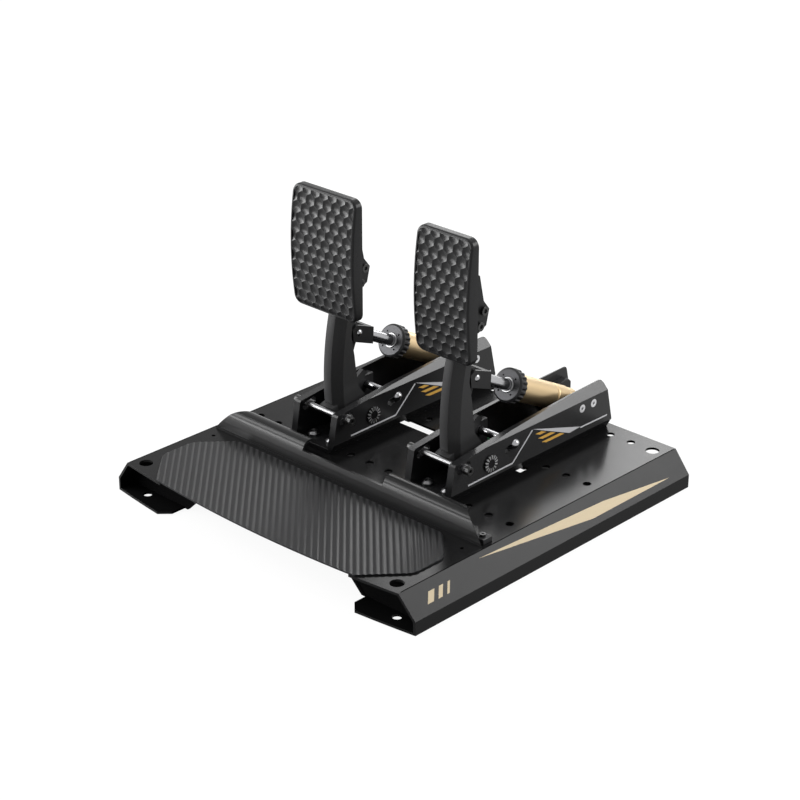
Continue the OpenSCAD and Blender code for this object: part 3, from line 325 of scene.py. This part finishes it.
def moulded_plastic(name, colour):
    """Plastic with a spark-eroded texture."""
    f = Finish(name)
    grain = f.noise(1400.0, detail=3.0)
    drift = f.noise(15.0)
    tone = (grain * 0.5 + drift * 0.5).clamped()
    return f.finish(
        Base_Color=f.mixed(tone, shade(colour, 0.8), shade(colour, 1.25)),
        Roughness=0.48 + grain * 0.12,
        Specular_IOR_Level=0.35,
        Normal=f.bump(grain, 0.03 * MM))


def sintered_bronze():
    """Porous bronze with painted shade in its pores, darker where they are deepest."""
    f = Finish("sintered_bronze")
    pores = f.noise(2200.0, detail=2.0)
    # The colour darkens with the depth of the pores: painted shade
    return f.finish(
        Base_Color=f.mixed(pores, (0.2, 0.12, 0.05), (0.55, 0.38, 0.18)),
        Metallic=0.9,
        Roughness=0.35 + pores * 0.15,
        Normal=f.bump(pores, 0.015 * MM))


def circuit_board():
    """Green solder mask with fainter tracks under it."""
    f = Finish("circuit_board")
    tracks = f.add("ShaderNodeTexBrick", inputs={
        "Vector": f.place, "Scale": 260.0, "Mortar Size": 0.06,
        "Color1": (0.0, 0.0, 0.0, 1.0), "Color2": (0.0, 0.0, 0.0, 1.0), "Mortar": (1.0, 1.0, 1.0, 1.0)})
    line = Value(f, tracks.outputs["Color"])
    return f.finish(
        Base_Color=f.mixed(line, (0.01, 0.06, 0.025), (0.03, 0.14, 0.06)),
        Roughness=0.3 + line * 0.1,
        Specular_IOR_Level=0.4,
        Normal=f.bump(line, 0.04 * MM))


def elastomer_rubber():
    """Brick-red elastomer with a waxy bloom."""
    f = Finish("elastomer")
    bloom = f.noise(220.0, detail=4.0)
    return f.finish(
        Base_Color=f.mixed(bloom, (0.2, 0.03, 0.018), (0.3, 0.07, 0.045)),
        Roughness=0.5 + bloom * 0.2,
        Normal=f.bump(bloom, 0.02 * MM))


def stripe_film(name, colour):
    """Printed film: an even colour with a trace of print grain."""
    f = Finish(name)
    print_grain = f.noise(900.0, detail=2.0)
    return f.finish(
        Base_Color=f.mixed(print_grain, shade(colour, 0.93), colour),
        Metallic=0.0,
        Roughness=0.4 + print_grain * 0.06,
        Specular_IOR_Level=0.3,
        Normal=f.bump(print_grain, 0.004 * MM))


sheet_black = satin_black("sheet_black", (0.007, 0.007, 0.0072), 0.2, sheen=0.07)
heel_black = satin_black("heel_black", (0.009, 0.009, 0.0092), 0.24, sheen=0.17)
wall_black = satin_black("wall_black", (0.012, 0.012, 0.0125), 0.24, sheen=0.22)
arm_black = {side: arm_paint(side) for side in SIDES}
pad_black = satin_black("pad_black", (0.018, 0.018, 0.0186), 0.27, sheen=0.14)
deep_black = satin_black("deep_black", (0.01, 0.01, 0.0105), 0.36, sheen=0.18)
# Near-black without sheen: painted shade for the inside of the base's sheet and for the line along its bend
painted_shade_black = satin_black("painted_shade_black", (0.003, 0.003, 0.0031), 0.8, sheen=0.01)
ring_black = satin_black("ring_black", (0.014, 0.014, 0.0145), 0.28, sheen=0.22)
black_oxide = satin_black("black_oxide", (0.012, 0.012, 0.012), 0.28, sheen=0.4)
mat_rubber = ribbed_rubber()
bright_chrome = polished_steel("bright_chrome", (0.36, 0.36, 0.37), 0.16)
rod_chrome = polished_steel("rod_chrome", (0.42, 0.42, 0.43), 0.16, damper_from, damper_axis)
zinc_steel = polished_steel("zinc_steel", (0.6, 0.6, 0.61), 0.25, axis=(0, 0, 1))
ground_steel = polished_steel("ground_steel", (0.3, 0.3, 0.305), 0.34)
grey_satin = polished_steel("grey_satin", (0.17, 0.17, 0.173), 0.3)
ring_face = polished_steel("ring_face", (0.045, 0.045, 0.047), 0.42)
serrated = serrated_steel(pivot, inner=4.8 * MM, outer=8.8 * MM, teeth=14)
cap_grey = polished_steel("cap_grey", (0.24, 0.24, 0.245), 0.4, damper_from, damper_axis)
champagne = gold_anodised("champagne", damper_from, damper_axis)
black_plastic = moulded_plastic("black_plastic", (0.012, 0.012, 0.013))
bronze = sintered_bronze()
board = circuit_board()
red_elastomer = elastomer_rubber()
pale_stripe = stripe_film("pale_stripe", (0.62, 0.62, 0.64))
gold_stripe = stripe_film("gold_stripe", (0.58, 0.465, 0.283))
amber_stripe = stripe_film("amber_stripe", (0.72, 0.41, 0.08))


# Mesh helpers

WELD = 0.002 * MM
FLAT_ANGLE = math.radians(0.4)
ROUNDED_ANGLE = 28
ROUNDED_STEPS = 2


def shown_piece(name, form, material, body, slot, *nodes, sharp):
    """Puts a bmesh in the scene as a piece that rides on a body and may stand for nodes."""
    mesh = bpy.data.meshes.new(name)
    bmesh.ops.recalc_face_normals(form, faces=form.faces)
    form.to_mesh(mesh)
    form.free()
    mesh.materials.append(material)
    mesh.shade_smooth()
    mesh.set_sharp_from_angle(angle=math.radians(sharp))
    piece = bpy.data.objects.new(name, mesh)
    bpy.context.scene.collection.objects.link(piece)
    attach(piece, body)
    if nodes:
        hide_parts(*nodes)
    return piece


def node_form(node):
    """A clean bmesh of a CAD node: welded, with flat faces joined again."""
    form = bmesh.new()
    form.from_mesh(frame["nodes"][node].data)
    for layers in (form.loops.layers.float_vector, form.loops.layers.uv, form.loops.layers.color):
        for layer in list(layers):
            layers.remove(layer)
    bmesh.ops.remove_doubles(form, verts=form.verts, dist=WELD)
    bmesh.ops.dissolve_limit(form, angle_limit=FLAT_ANGLE, verts=form.verts, edges=form.edges)
    return form


def round_edges(piece, width, steps, sharp):
    """Rounds the edges of a piece that turn by more than sharp degrees."""
    edges = piece.modifiers.new("rounded_edges", "BEVEL")
    edges.width = width
    edges.segments = steps
    edges.limit_method = "ANGLE"
    edges.angle_limit = math.radians(sharp)


def rounded(node, material, edge):
    """A copy of a CAD node whose sharp edges are rounded by edge millimetres."""
    piece = shown_piece(node + "_finished", node_form(node), material, body_of[node], slot_of[node], node,
                        sharp=ROUNDED_ANGLE)
    for name in [a.name for a in piece.data.attributes if a.name.startswith("custom_normal")]:
        piece.data.attributes.remove(piece.data.attributes[name])
    round_edges(piece, edge * MM, ROUNDED_STEPS, ROUNDED_ANGLE)
    shading = piece.modifiers.new("even_shading", "WEIGHTED_NORMAL")
    shading.keep_sharp = True
    shading.weight = 80
    return piece


# Finish and edge rounding in millimetres of every part that keeps its CAD shape
PARTS = {
    "base_plate": (sheet_black, 0.45),
    "heel_rest": (heel_black, 0.4),
    "heel_rest_feet": (black_plastic, 0.7),
    "heel_rest_screws": (black_oxide, 0.3),
    "module_bolts": (grey_satin, 0.35),
    "pivot_discs": (serrated, 0.2),
    "countersunk_screws": (zinc_steel, 0.15),
    "front_rod_screws": (black_oxide, 0.4),
    "rear_rod_bolts": (bright_chrome, 0.2),
    "sensor_boards": (board, 0.1),
    "left_wall": (wall_black, 0.7),
    "right_wall": (wall_black, 0.7),
    "floor": (wall_black, 0.4),
    "sensor_housing": (black_plastic, 0.6),
    "pivot_axle": (ground_steel, 0.5),
    "front_rod": (grey_satin, 0.3),
    "rear_rod": (bright_chrome, 0.3),
    "rear_blocks": (deep_black, 0.6),
    "rear_axle": (ground_steel, 0.4),
    "arm": (arm_black, 1.0),
    "arm_bushes": (bronze, 0.3),
    "magnet": (grey_satin, 0.2),
    "pad_bracket": (deep_black, 0.5),
    "pad_screws": (black_oxide, 0.3),
    "clevis": (deep_black, 0.8),
    "clevis_pin": (bright_chrome, 0.2),
    "damper_rod": (rod_chrome, 0.3),
    "rod_bush": (ground_steel, 0.4),
    "damper_sleeve": (champagne, 0.5),
    "damper_tail": (champagne, 0.5),
    "end_cap": (cap_grey, 0.5),
    "elastomers": (red_elastomer, 0.5),
    "load_cell": (ground_steel, 0.3),
    "spring": (ground_steel, 0.1),
    "preload_ring": (ring_black, 0.3),
}

# How far the inside of the base's sheet starts under the top of the deck
INSIDE_UNDER = 1.5 * MM
# How far behind the front corners a face that looks forward is still an outer one
FRONT_FACES = 3 * MM


def module_and_part(node):
    """A node's module, or nothing for the base's own nodes, and its name without the module."""
    module, _, part = node.partition("_")
    return (module, part) if module in SIDES else ("", node)


def face_ring(piece):
    """The adjusting ring's front face is turned down to dark steel, its second finish."""
    piece.data.materials.append(ring_face)
    for face in piece.data.polygons:
        if face.normal.dot(damper_axis) < -0.9:
            face.material_index = 1


def shade_underside(piece):
    """The inside of the bent sheet takes painted shade: a second, near-black finish without sheen."""
    piece.data.materials.append(painted_shade_black)
    under = deck_top - INSIDE_UNDER
    front = BASE_FRONT_CORNER * MM + FRONT_FACES
    for face in piece.data.polygons:
        outward = face.normal.x * math.copysign(1, face.center.x) > 0.5
        forward = face.normal.y < -0.5 and face.center.y < front
        if face.center.z < under and not outward and not forward:
            face.material_index = 1


for node in frame["nodes"]:
    module, part = module_and_part(node)
    if part in PARTS:
        finish, edge = PARTS[part]
        if isinstance(finish, dict):
            finish = finish[module]
        piece = rounded(node, finish, edge)
        if part == "preload_ring":
            face_ring(piece)
        if part == "base_plate":
            shade_underside(piece)


# Heel mat: the CAD mat's outline with softly rounded ribs

RIB_PITCH = 6.09 * MM
RIB_HEIGHT = 0.45 * MM
RIB_SHARPNESS = 1.4
RIB_STEPS = 10
RIB_ACROSS = Vector((1, 1, 0)).normalized()
MAT_EDGE = 0.6 * MM
MAT_SHARP = 50
MAT_FLAT_ANGLE = 0.01


def heel_mat():
    low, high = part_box("heel_mat")
    centre = middle("heel_mat")
    form = node_form("heel_mat")
    top = [face for face in form.faces if face.normal.z > -0.9]
    bmesh.ops.delete(form, geom=top, context="FACES")
    bmesh.ops.dissolve_limit(form, angle_limit=MAT_FLAT_ANGLE, verts=form.verts, edges=form.edges)
    step = RIB_PITCH / RIB_STEPS
    cuts = int((high - low).length / 2 / step)
    for i in range(-cuts, cuts + 1):
        bmesh.ops.bisect_plane(
            form, geom=form.verts[:] + form.edges[:] + form.faces[:], dist=1e-6,
            plane_co=centre + RIB_ACROSS * (i * step), plane_no=RIB_ACROSS)
    lifted = bmesh.ops.extrude_face_region(form, geom=form.faces[:])
    for vertex in (v for v in lifted["geom"] if isinstance(v, bmesh.types.BMVert)):
        turn = (vertex.co - centre).dot(RIB_ACROSS) / RIB_PITCH * math.tau
        vertex.co.z = high.z - RIB_HEIGHT * (0.5 - 0.5 * math.cos(turn)) ** RIB_SHARPNESS
    piece = shown_piece("heel_mat_ribbed", form, mat_rubber, "root", slot_of["heel_mat"], "heel_mat",
                        sharp=MAT_SHARP)
    round_edges(piece, MAT_EDGE, 2, MAT_SHARP)


heel_mat()


# Pads: a rim around a field of six-sided dimples, both on the same gentle curve

PAD_CURVE = 355 * MM
PAD_CROWN_LOW = 2.6 * MM
PAD_CORNER = 9 * MM
PAD_LEAST_CORNER = 0.3 * MM
PAD_ROUNDING = 2.2 * MM
PAD_ROUNDING_STEPS = 6
PAD_BACK_CHAMFER = 0.8 * MM
PAD_RIM_SHARP = 32
FIELD_INSET = 2.7 * MM
FIELD_BED = 1.9 * MM
FIELD_SLOPE = 0.15 * MM
DIMPLES_INSET = 0.05 * MM
DIMPLES_SINK = 0.1 * MM
DIMPLE_WIDTH = 11.7 * MM
DIMPLE_ROW_PITCH = DIMPLE_WIDTH * math.sqrt(3) / 2
DIMPLE_DEPTH = 1.5 * MM
DIMPLE_RINGS = (0.28, 0.52, 0.72, 0.87, 0.96, 1.0)
DIMPLE_POINTS = 12
DIMPLE_WELD = 0.02 * MM
DIMPLE_SHARP = 24
CORNER_STEPS = 8
SIDE_STEPS = 14


def rounded_outline(low, high, inset):
    """Points [x, z] around the pad's rounded rectangle, the same number for every inset."""
    r = max(PAD_CORNER - inset, PAD_LEAST_CORNER)
    centres = [
        (high.x - inset - r, high.z - inset - r, 0),
        (low.x + inset + r, high.z - inset - r, 90),
        (low.x + inset + r, low.z + inset + r, 180),
        (high.x - inset - r, low.z + inset + r, 270),
    ]
    points = []
    for i, (x, z, turn) in enumerate(centres):
        for k in range(CORNER_STEPS + 1):
            angle = math.radians(turn + 90 * k / CORNER_STEPS)
            points.append((x + r * math.cos(angle), z + r * math.sin(angle)))
        x_start, z_start = points[-1]
        x_next, z_next, turn_next = centres[(i + 1) % 4]
        x_end = x_next + r * math.cos(math.radians(turn_next))
        z_end = z_next + r * math.sin(math.radians(turn_next))
        for k in range(1, SIDE_STEPS):
            share = k / SIDE_STEPS
            points.append((x_start + (x_end - x_start) * share, z_start + (z_end - z_start) * share))
    return points


def dimple_measure(x, z):
    """0 in the middle of a dimple and 1 on the ridge around it."""
    lowest_row = math.floor(z / DIMPLE_ROW_PITCH)
    reaches = []
    for row in (lowest_row, lowest_row + 1):
        shift = DIMPLE_WIDTH / 2 * (row % 2)
        column = round((x - shift) / DIMPLE_WIDTH)
        dx = x - shift - column * DIMPLE_WIDTH
        dz = (z - row * DIMPLE_ROW_PITCH) * math.sqrt(3) / 2
        reaches.append(max(abs(dx), abs(dx / 2 + dz), abs(dx / 2 - dz)) / (DIMPLE_WIDTH / 2))
    return min(*reaches, 1.0)


def pad_front(low, high, z):
    """The pad's front surface bulges towards the driver, most of all just below its middle."""
    crown = (low.z + high.z) / 2 - PAD_CROWN_LOW
    return low.y + PAD_CURVE - math.sqrt(PAD_CURVE ** 2 - (z - crown) ** 2)


def pad_rim(side):
    """The pad's back, its sides, the rounding of its front edge and the bed of the dimples."""
    node = side + "_pad"
    low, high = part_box(node)
    centre = middle(node)
    form = bmesh.new()

    def flat_ring(inset, y):
        return [form.verts.new((x, y, z)) for x, z in rounded_outline(low, high, inset)]

    def curved_ring(inset, depth):
        outline = rounded_outline(low, high, inset)
        return [form.verts.new((x, pad_front(low, high, z) + depth, z)) for x, z in outline]

    rings = [flat_ring(PAD_BACK_CHAMFER, high.y), flat_ring(0, high.y - PAD_BACK_CHAMFER)]
    for k in range(PAD_ROUNDING_STEPS + 1):
        angle = math.radians(90 * k / PAD_ROUNDING_STEPS)
        inset = PAD_ROUNDING * (1 - math.cos(angle))
        rings.append(curved_ring(inset, PAD_ROUNDING * (1 - math.sin(angle))))
    rings.append(curved_ring(FIELD_INSET, 0))
    rings.append(curved_ring(FIELD_INSET + FIELD_SLOPE, FIELD_BED))
    for a, b in zip(rings, rings[1:]):
        for i in range(len(a)):
            j = (i + 1) % len(a)
            form.faces.new((a[i], a[j], b[j], b[i]))
    form.faces.new(rings[0])
    bed = form.verts.new((centre.x, low.y + FIELD_BED, centre.z))
    last = rings[-1]
    for i in range(len(last)):
        form.faces.new((last[i], last[(i + 1) % len(last)], bed))
    shown_piece(side + "_pad_rim", form, pad_black, body_of[node], slot_of[node], node, sharp=PAD_RIM_SHARP)


def dimple_grid(form, columns, rows):
    """Flat six-sided cells of nested rings, side by side around the origin."""
    for row in range(-rows, rows + 1):
        for column in range(-columns, columns + 1):
            x0 = (column + 0.5 * (row % 2)) * DIMPLE_WIDTH
            z0 = row * DIMPLE_ROW_PITCH
            inner = [form.verts.new((x0, 0, z0))]
            for scale in DIMPLE_RINGS:
                outer = []
                for k in range(DIMPLE_POINTS):
                    reach = scale * (DIMPLE_WIDTH / math.sqrt(3) if k % 2 == 0 else DIMPLE_WIDTH / 2)
                    angle = math.radians(90 + 360 / DIMPLE_POINTS * k)
                    point = (x0 + reach * math.cos(angle), 0, z0 + reach * math.sin(angle))
                    outer.append(form.verts.new(point))
                for k in range(DIMPLE_POINTS):
                    m = (k + 1) % DIMPLE_POINTS
                    if len(inner) == 1:
                        form.faces.new((inner[0], outer[k], outer[m]))
                    else:
                        form.faces.new((inner[k], outer[k], outer[m], inner[m]))
                inner = outer


def pad_dimples(side):
    """The dimpled field: the cells cut to the rim's inside, hollowed, with a skirt down to the bed."""
    node = side + "_pad"
    low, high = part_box(node)
    centre = middle(node)
    form = bmesh.new()
    columns = int((high.x - low.x) / 2 / DIMPLE_WIDTH) + 2
    rows = int((high.z - low.z) / 2 / DIMPLE_ROW_PITCH) + 2
    dimple_grid(form, columns, rows)
    bmesh.ops.remove_doubles(form, verts=form.verts, dist=DIMPLE_WELD)
    bmesh.ops.translate(form, verts=form.verts, vec=(centre.x, 0, centre.z))
    outline = rounded_outline(low, high, FIELD_INSET + DIMPLES_INSET)
    for (xa, za), (xb, zb) in zip(outline, outline[1:] + outline[:1]):
        outward = Vector((zb - za, 0, xa - xb))
        if outward.length > 1e-6:
            bmesh.ops.bisect_plane(
                form, geom=form.verts[:] + form.edges[:] + form.faces[:], dist=1e-7,
                plane_co=(xa, 0, za), plane_no=outward.normalized(), clear_outer=True)
    for vertex in form.verts:
        measure = dimple_measure(vertex.co.x - centre.x, vertex.co.z - centre.z)
        vertex.co.y = pad_front(low, high, vertex.co.z) + DIMPLE_DEPTH * (1 - measure ** 2)
    skirt = bmesh.ops.extrude_edge_only(form, edges=[edge for edge in form.edges if edge.is_boundary])
    for vertex in (v for v in skirt["geom"] if isinstance(v, bmesh.types.BMVert)):
        vertex.co.y = pad_front(low, high, vertex.co.z) + FIELD_BED - DIMPLES_SINK
    shown_piece(side + "_pad_dimples", form, pad_black, body_of[node], slot_of[node], sharp=DIMPLE_SHARP)


for side in SIDES:
    pad_rim(side)
    pad_dimples(side)


# Stripes: thin printed film on the walls and on the base's sloping sides

FILM_RISE = 0.06 * MM
FILM_THICKNESS = 0.036 * MM
FILM_SHARP = 20


def film(name, outline, origin, across, up, material, body, slot):
    """A flat outline of [across, up] millimetres, laid on the plane through origin."""
    normal = across.cross(up).normalized()
    face = origin + normal * FILM_RISE
    form = bmesh.new()
    form.faces.new([form.verts.new(face + across * (a * MM) + up * (b * MM)) for a, b in outline])
    thickness = bmesh.ops.extrude_face_region(form, geom=form.faces[:])
    for vertex in (v for v in thickness["geom"] if isinstance(v, bmesh.types.BMVert)):
        vertex.co -= normal * FILM_THICKNESS
    shown_piece(name, form, material, body, slot, sharp=FILM_SHARP)


def ribbon(points, width):
    """The outline of a line of even width through the points, with mitred corners."""
    sides = [[], []]
    for i, point in enumerate(points):
        here = Vector(point)
        before = (here - Vector(points[i - 1])).normalized() if i > 0 else None
        after = (Vector(points[i + 1]) - here).normalized() if i < len(points) - 1 else None
        a, b = before or after, after or before
        offset = Vector((-a.y - b.y, a.x + b.x)) / (1 + a.dot(b)) * (width / 2)
        sides[0].append(tuple(here + offset))
        sides[1].append(tuple(here - offset))
    return sides[0] + sides[1][::-1]


# Outlines on a wall: millimetres behind the wall's front end and above the deck
WALL_LINE = [(24.8, 14.4), (89.3, 15.2), (118.1, 41.1)]
WALL_WEDGE = [(118.0, 42.0), (175.5, 17.9), (193.1, 18.9)]
WALL_TAIL = [(193.0, 17.9), (235.5, 17.6)]
WALL_LINE_WIDTH = 1.7
WALL_BARS = [
    [(140.0, 20.0), (168.0, 20.0), (160.8, 23.0), (132.8, 23.0)],
    [(134.0, 26.0), (153.7, 26.0), (146.5, 29.0), (126.8, 29.0)],
    [(130.0, 32.0), (139.4, 32.0), (132.2, 35.0), (122.8, 35.0)],
]


def wall_stripes(side, wall):
    node = f"{side}_{wall}_wall"
    low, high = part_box(node)
    outward = 1 if wall == "right" else -1
    origin = Vector((high.x if wall == "right" else low.x, low.y, low.z))
    across = Vector((0, outward, 0))
    up = Vector((0, 0, 1))

    def lay(name, outline, material):
        placed = [(a * outward, b) for a, b in outline]
        film(f"{node}_{name}", placed, origin, across, up, material, body_of[node], slot_of[node])

    lay("line", ribbon(WALL_LINE, WALL_LINE_WIDTH), pale_stripe)
    lay("wedge", WALL_WEDGE, pale_stripe)
    lay("tail", ribbon(WALL_TAIL, WALL_LINE_WIDTH), pale_stripe)
    for i, bar in enumerate(WALL_BARS):
        lay(f"bar_{i + 1}", bar, amber_stripe)


for side in SIDES:
    for wall in ("left", "right"):
        wall_stripes(side, wall)


# Sloping sides of the base: a long tapered stripe, three slanted bars in front of it, and a
# line of painted shade along the bend at the deck's edge, all in millimetres from the base's front corner
SLOPE_FOOT = Vector((205.0, 14.1))
SLOPE_TOP = Vector((186.7, 37.2))
SLOPE_STRIPE = [(100.0, 24.1), (252.6, 6.7), (372.6, 6.8), (276.3, 17.0)]
SLOPE_BARS = [
    [(22.0, 9.0), (30.0, 9.0), (37.0, 19.0), (29.0, 19.0)],
    [(36.0, 9.0), (41.5, 9.0), (48.5, 19.0), (43.0, 19.0)],
    [(47.5, 9.0), (50.7, 9.0), (57.7, 19.0), (54.5, 19.0)],
]
BEND_LINE_WIDTH = 1.1
BEND_LINE_ENDS = (0.6, 398.0)


def painted_bend_shade(name, sign):
    """A line of painted shade on the deck, just inside the bend."""
    start, end = BEND_LINE_ENDS
    outline = [(start, 0.0), (end, 0.0), (end, BEND_LINE_WIDTH), (start, BEND_LINE_WIDTH)]
    right_edge = SLOPE_TOP.x if sign > 0 else BEND_LINE_WIDTH - SLOPE_TOP.x
    origin = Vector((right_edge * MM, BASE_FRONT_CORNER * MM, deck_top))
    backward = Vector((0, 1, 0))
    leftward = Vector((-1, 0, 0))
    film(f"base_{name}_bend_line", outline, origin, backward, leftward, painted_shade_black,
         "root", slot_of["base_plate"])


def slope_stripes(name, sign):
    rise = (SLOPE_TOP - SLOPE_FOOT).normalized()
    origin = Vector((sign * SLOPE_FOOT.x, BASE_FRONT_CORNER, SLOPE_FOOT.y)) * MM
    across = Vector((0, sign, 0))
    up = Vector((sign * rise.x, 0, rise.y))

    def lay(label, outline):
        placed = [(a * sign, b) for a, b in outline]
        film(f"base_{name}_{label}", placed, origin, across, up, gold_stripe, "root", slot_of["base_plate"])

    lay("stripe", SLOPE_STRIPE)
    for i, bar in enumerate(SLOPE_BARS):
        lay(f"bar_{i + 1}", bar)


for name, sign in (("left", -1), ("right", 1)):
    painted_bend_shade(name, sign)
    slope_stripes(name, sign)


# Camera, calibrated on the corners of the base

CAMERA_TURN = math.radians(43.81)
CAMERA_RISE = math.radians(25.006)
CAMERA_DISTANCE = 2.237228
CAMERA_TARGET = Vector((-0.059402, 0.063384, 0.06))
CAMERA_LENS = 97.813
CAMERA_SENSOR = 36
CAMERA_NEAREST = 0.05

camera_data = bpy.data.cameras.new("camera")
camera_data.lens = CAMERA_LENS
camera_data.sensor_width = CAMERA_SENSOR
camera_data.clip_start = CAMERA_NEAREST
camera = bpy.data.objects.new("camera", camera_data)
back = Vector((
    math.sin(CAMERA_TURN) * math.cos(CAMERA_RISE),
    -math.cos(CAMERA_TURN) * math.cos(CAMERA_RISE),
    math.sin(CAMERA_RISE)))
camera.location = CAMERA_TARGET + back * CAMERA_DISTANCE
camera.rotation_mode = "QUATERNION"
camera.rotation_quaternion = (-back).to_track_quat("-Z", "Y")
bpy.context.scene.collection.objects.link(camera)
bpy.context.scene.camera = camera


# White floor that keeps a faint shadow, with painted shadow under the deck, and soft studio light

# Two patches of painted shadow on the floor under the deck, in front of and behind the light that
# falls through the cable slot: low corner, high corner, and the width of the soft edges
PAINTED_SHADOWS = [((-200.0, -117.5), (190.0, 107.5)), ((-200.0, 127.0), (190.0, 212.0))]
PAINTED_SHADOW_EDGE = 8.0
WHITE = (1.0, 1.0, 1.0, 1.0)
FLOOR_SIZE = 30.0
FLOOR_DROP = 0.1 * MM
FLOOR_LIT = (0.3, 0.3, 0.3, 1.0)
FLOOR_FAINT = (0.09, 0.09, 0.09, 1.0)
FLOOR_GLOW = 0.93


def floor_material():
    """White to the camera with a faint shadow and patches of painted shadow; to the object a grey that
    throws little light up.
    """
    f = Finish("studio_floor")
    x = f.along((0, 0, 0), (1, 0, 0))
    y = f.along((0, 0, 0), (0, 1, 0))
    edge = PAINTED_SHADOW_EDGE * MM
    painted_shadow = 0.0
    for low, high in PAINTED_SHADOWS:
        inside_x = ((x - low[0] * MM) / edge).clamped() * ((high[0] * MM - x) / edge).clamped()
        inside_y = ((y - low[1] * MM) / edge).clamped() * ((high[1] * MM - y) / edge).clamped()
        painted_shadow = (inside_x * inside_y).maths("MAXIMUM", painted_shadow)
    # The glow's colour darkens to near black inside the patches: painted shadow
    tone = f.mixed(painted_shadow, (1.0, 1.0, 1.0), (0.01, 0.01, 0.01))
    lit = f.add("ShaderNodeBsdfDiffuse", inputs={"Color": FLOOR_LIT})
    faint = f.add("ShaderNodeBsdfDiffuse", inputs={"Color": FLOOR_FAINT})
    glow = f.add("ShaderNodeEmission", inputs={"Color": tone, "Strength": FLOOR_GLOW})
    shown = f.add("ShaderNodeAddShader", inputs={0: faint.outputs[0], 1: glow.outputs[0]})
    surface = f.mixed_shader(f.background_rays(), lit, shown)
    f.add("ShaderNodeOutputMaterial", inputs={"Surface": surface.outputs[0]})
    return f.owner


half = FLOOR_SIZE / 2
floor_mesh = bpy.data.meshes.new("floor")
floor_corners = [(-half, -half, 0), (half, -half, 0), (half, half, 0), (-half, half, 0)]
floor_mesh.from_pydata(floor_corners, [], [(0, 1, 2, 3)])
floor_mesh.materials.append(floor_material())
floor = bpy.data.objects.new("floor", floor_mesh)
floor.location.z = -FLOOR_DROP
bpy.context.scene.collection.objects.link(floor)


def softbox(name, place, aim, width, height, power):
    lamp = bpy.data.lights.new(name, "AREA")
    lamp.shape = "RECTANGLE"
    lamp.size = width
    lamp.size_y = height
    lamp.energy = power
    made = bpy.data.objects.new(name, lamp)
    made.location = place
    made.rotation_mode = "QUATERNION"
    made.rotation_quaternion = (Vector(aim) - Vector(place)).to_track_quat("-Z", "Y")
    bpy.context.scene.collection.objects.link(made)


softbox("overhead", (-0.1, 0.3, 2.2), (0, 0, 0), 1.8, 1.6, 10)
softbox("rear", (-0.7, 1.95, 1.05), (0.1, 0.05, 0.05), 0.9, 1.0, 22)
softbox("rear_left", (-1.5, 1.95, 1.6), (0.1, -0.1, 0.05), 0.7, 0.7, 10)
softbox("rear_right", (1.55, 1.6, 1.25), (0.1, 0, 0.05), 1.1, 1.0, 44)
softbox("key_left", (-2.0, -0.85, 0.52), (0, 0, 0.24), 1.2, 0.95, 42)
softbox("front_left", (-1.45, -1.1, 1.35), (0, -0.1, 0.06), 1.0, 0.7, 20)
softbox("low_front", (-1.3, -1.7, 0.36), (0, -0.1, 0.06), 1.1, 0.45, 24)

DOME_LOW = 0.08
DOME_HIGH = 0.5
DOME_STARTS = -0.1
DOME_ENDS = 0.9


def studio_world():
    """White to the camera; to the object a dome that is brighter overhead than at the horizon."""
    world = bpy.data.worlds.new("studio")
    sky = Nodes(world)
    direction = sky.add("ShaderNodeTexCoord").outputs["Generated"]
    height = Value(sky, sky.add("ShaderNodeSeparateXYZ", inputs={0: direction}).outputs["Z"])
    raised = ((height - DOME_STARTS) / (DOME_ENDS - DOME_STARTS)).clamped()
    horizon, zenith, white = (
        sky.add("ShaderNodeBackground", inputs={"Color": WHITE, "Strength": strength})
        for strength in (DOME_LOW, DOME_HIGH, 1.0))
    dome = sky.mixed_shader(raised, horizon, zenith)
    surface = sky.mixed_shader(sky.background_rays(), dome, white)
    sky.add("ShaderNodeOutputWorld", inputs={"Surface": surface.outputs[0]})
    bpy.context.scene.world = world


studio_world()
bpy.context.scene.view_settings.view_transform = "Standard"
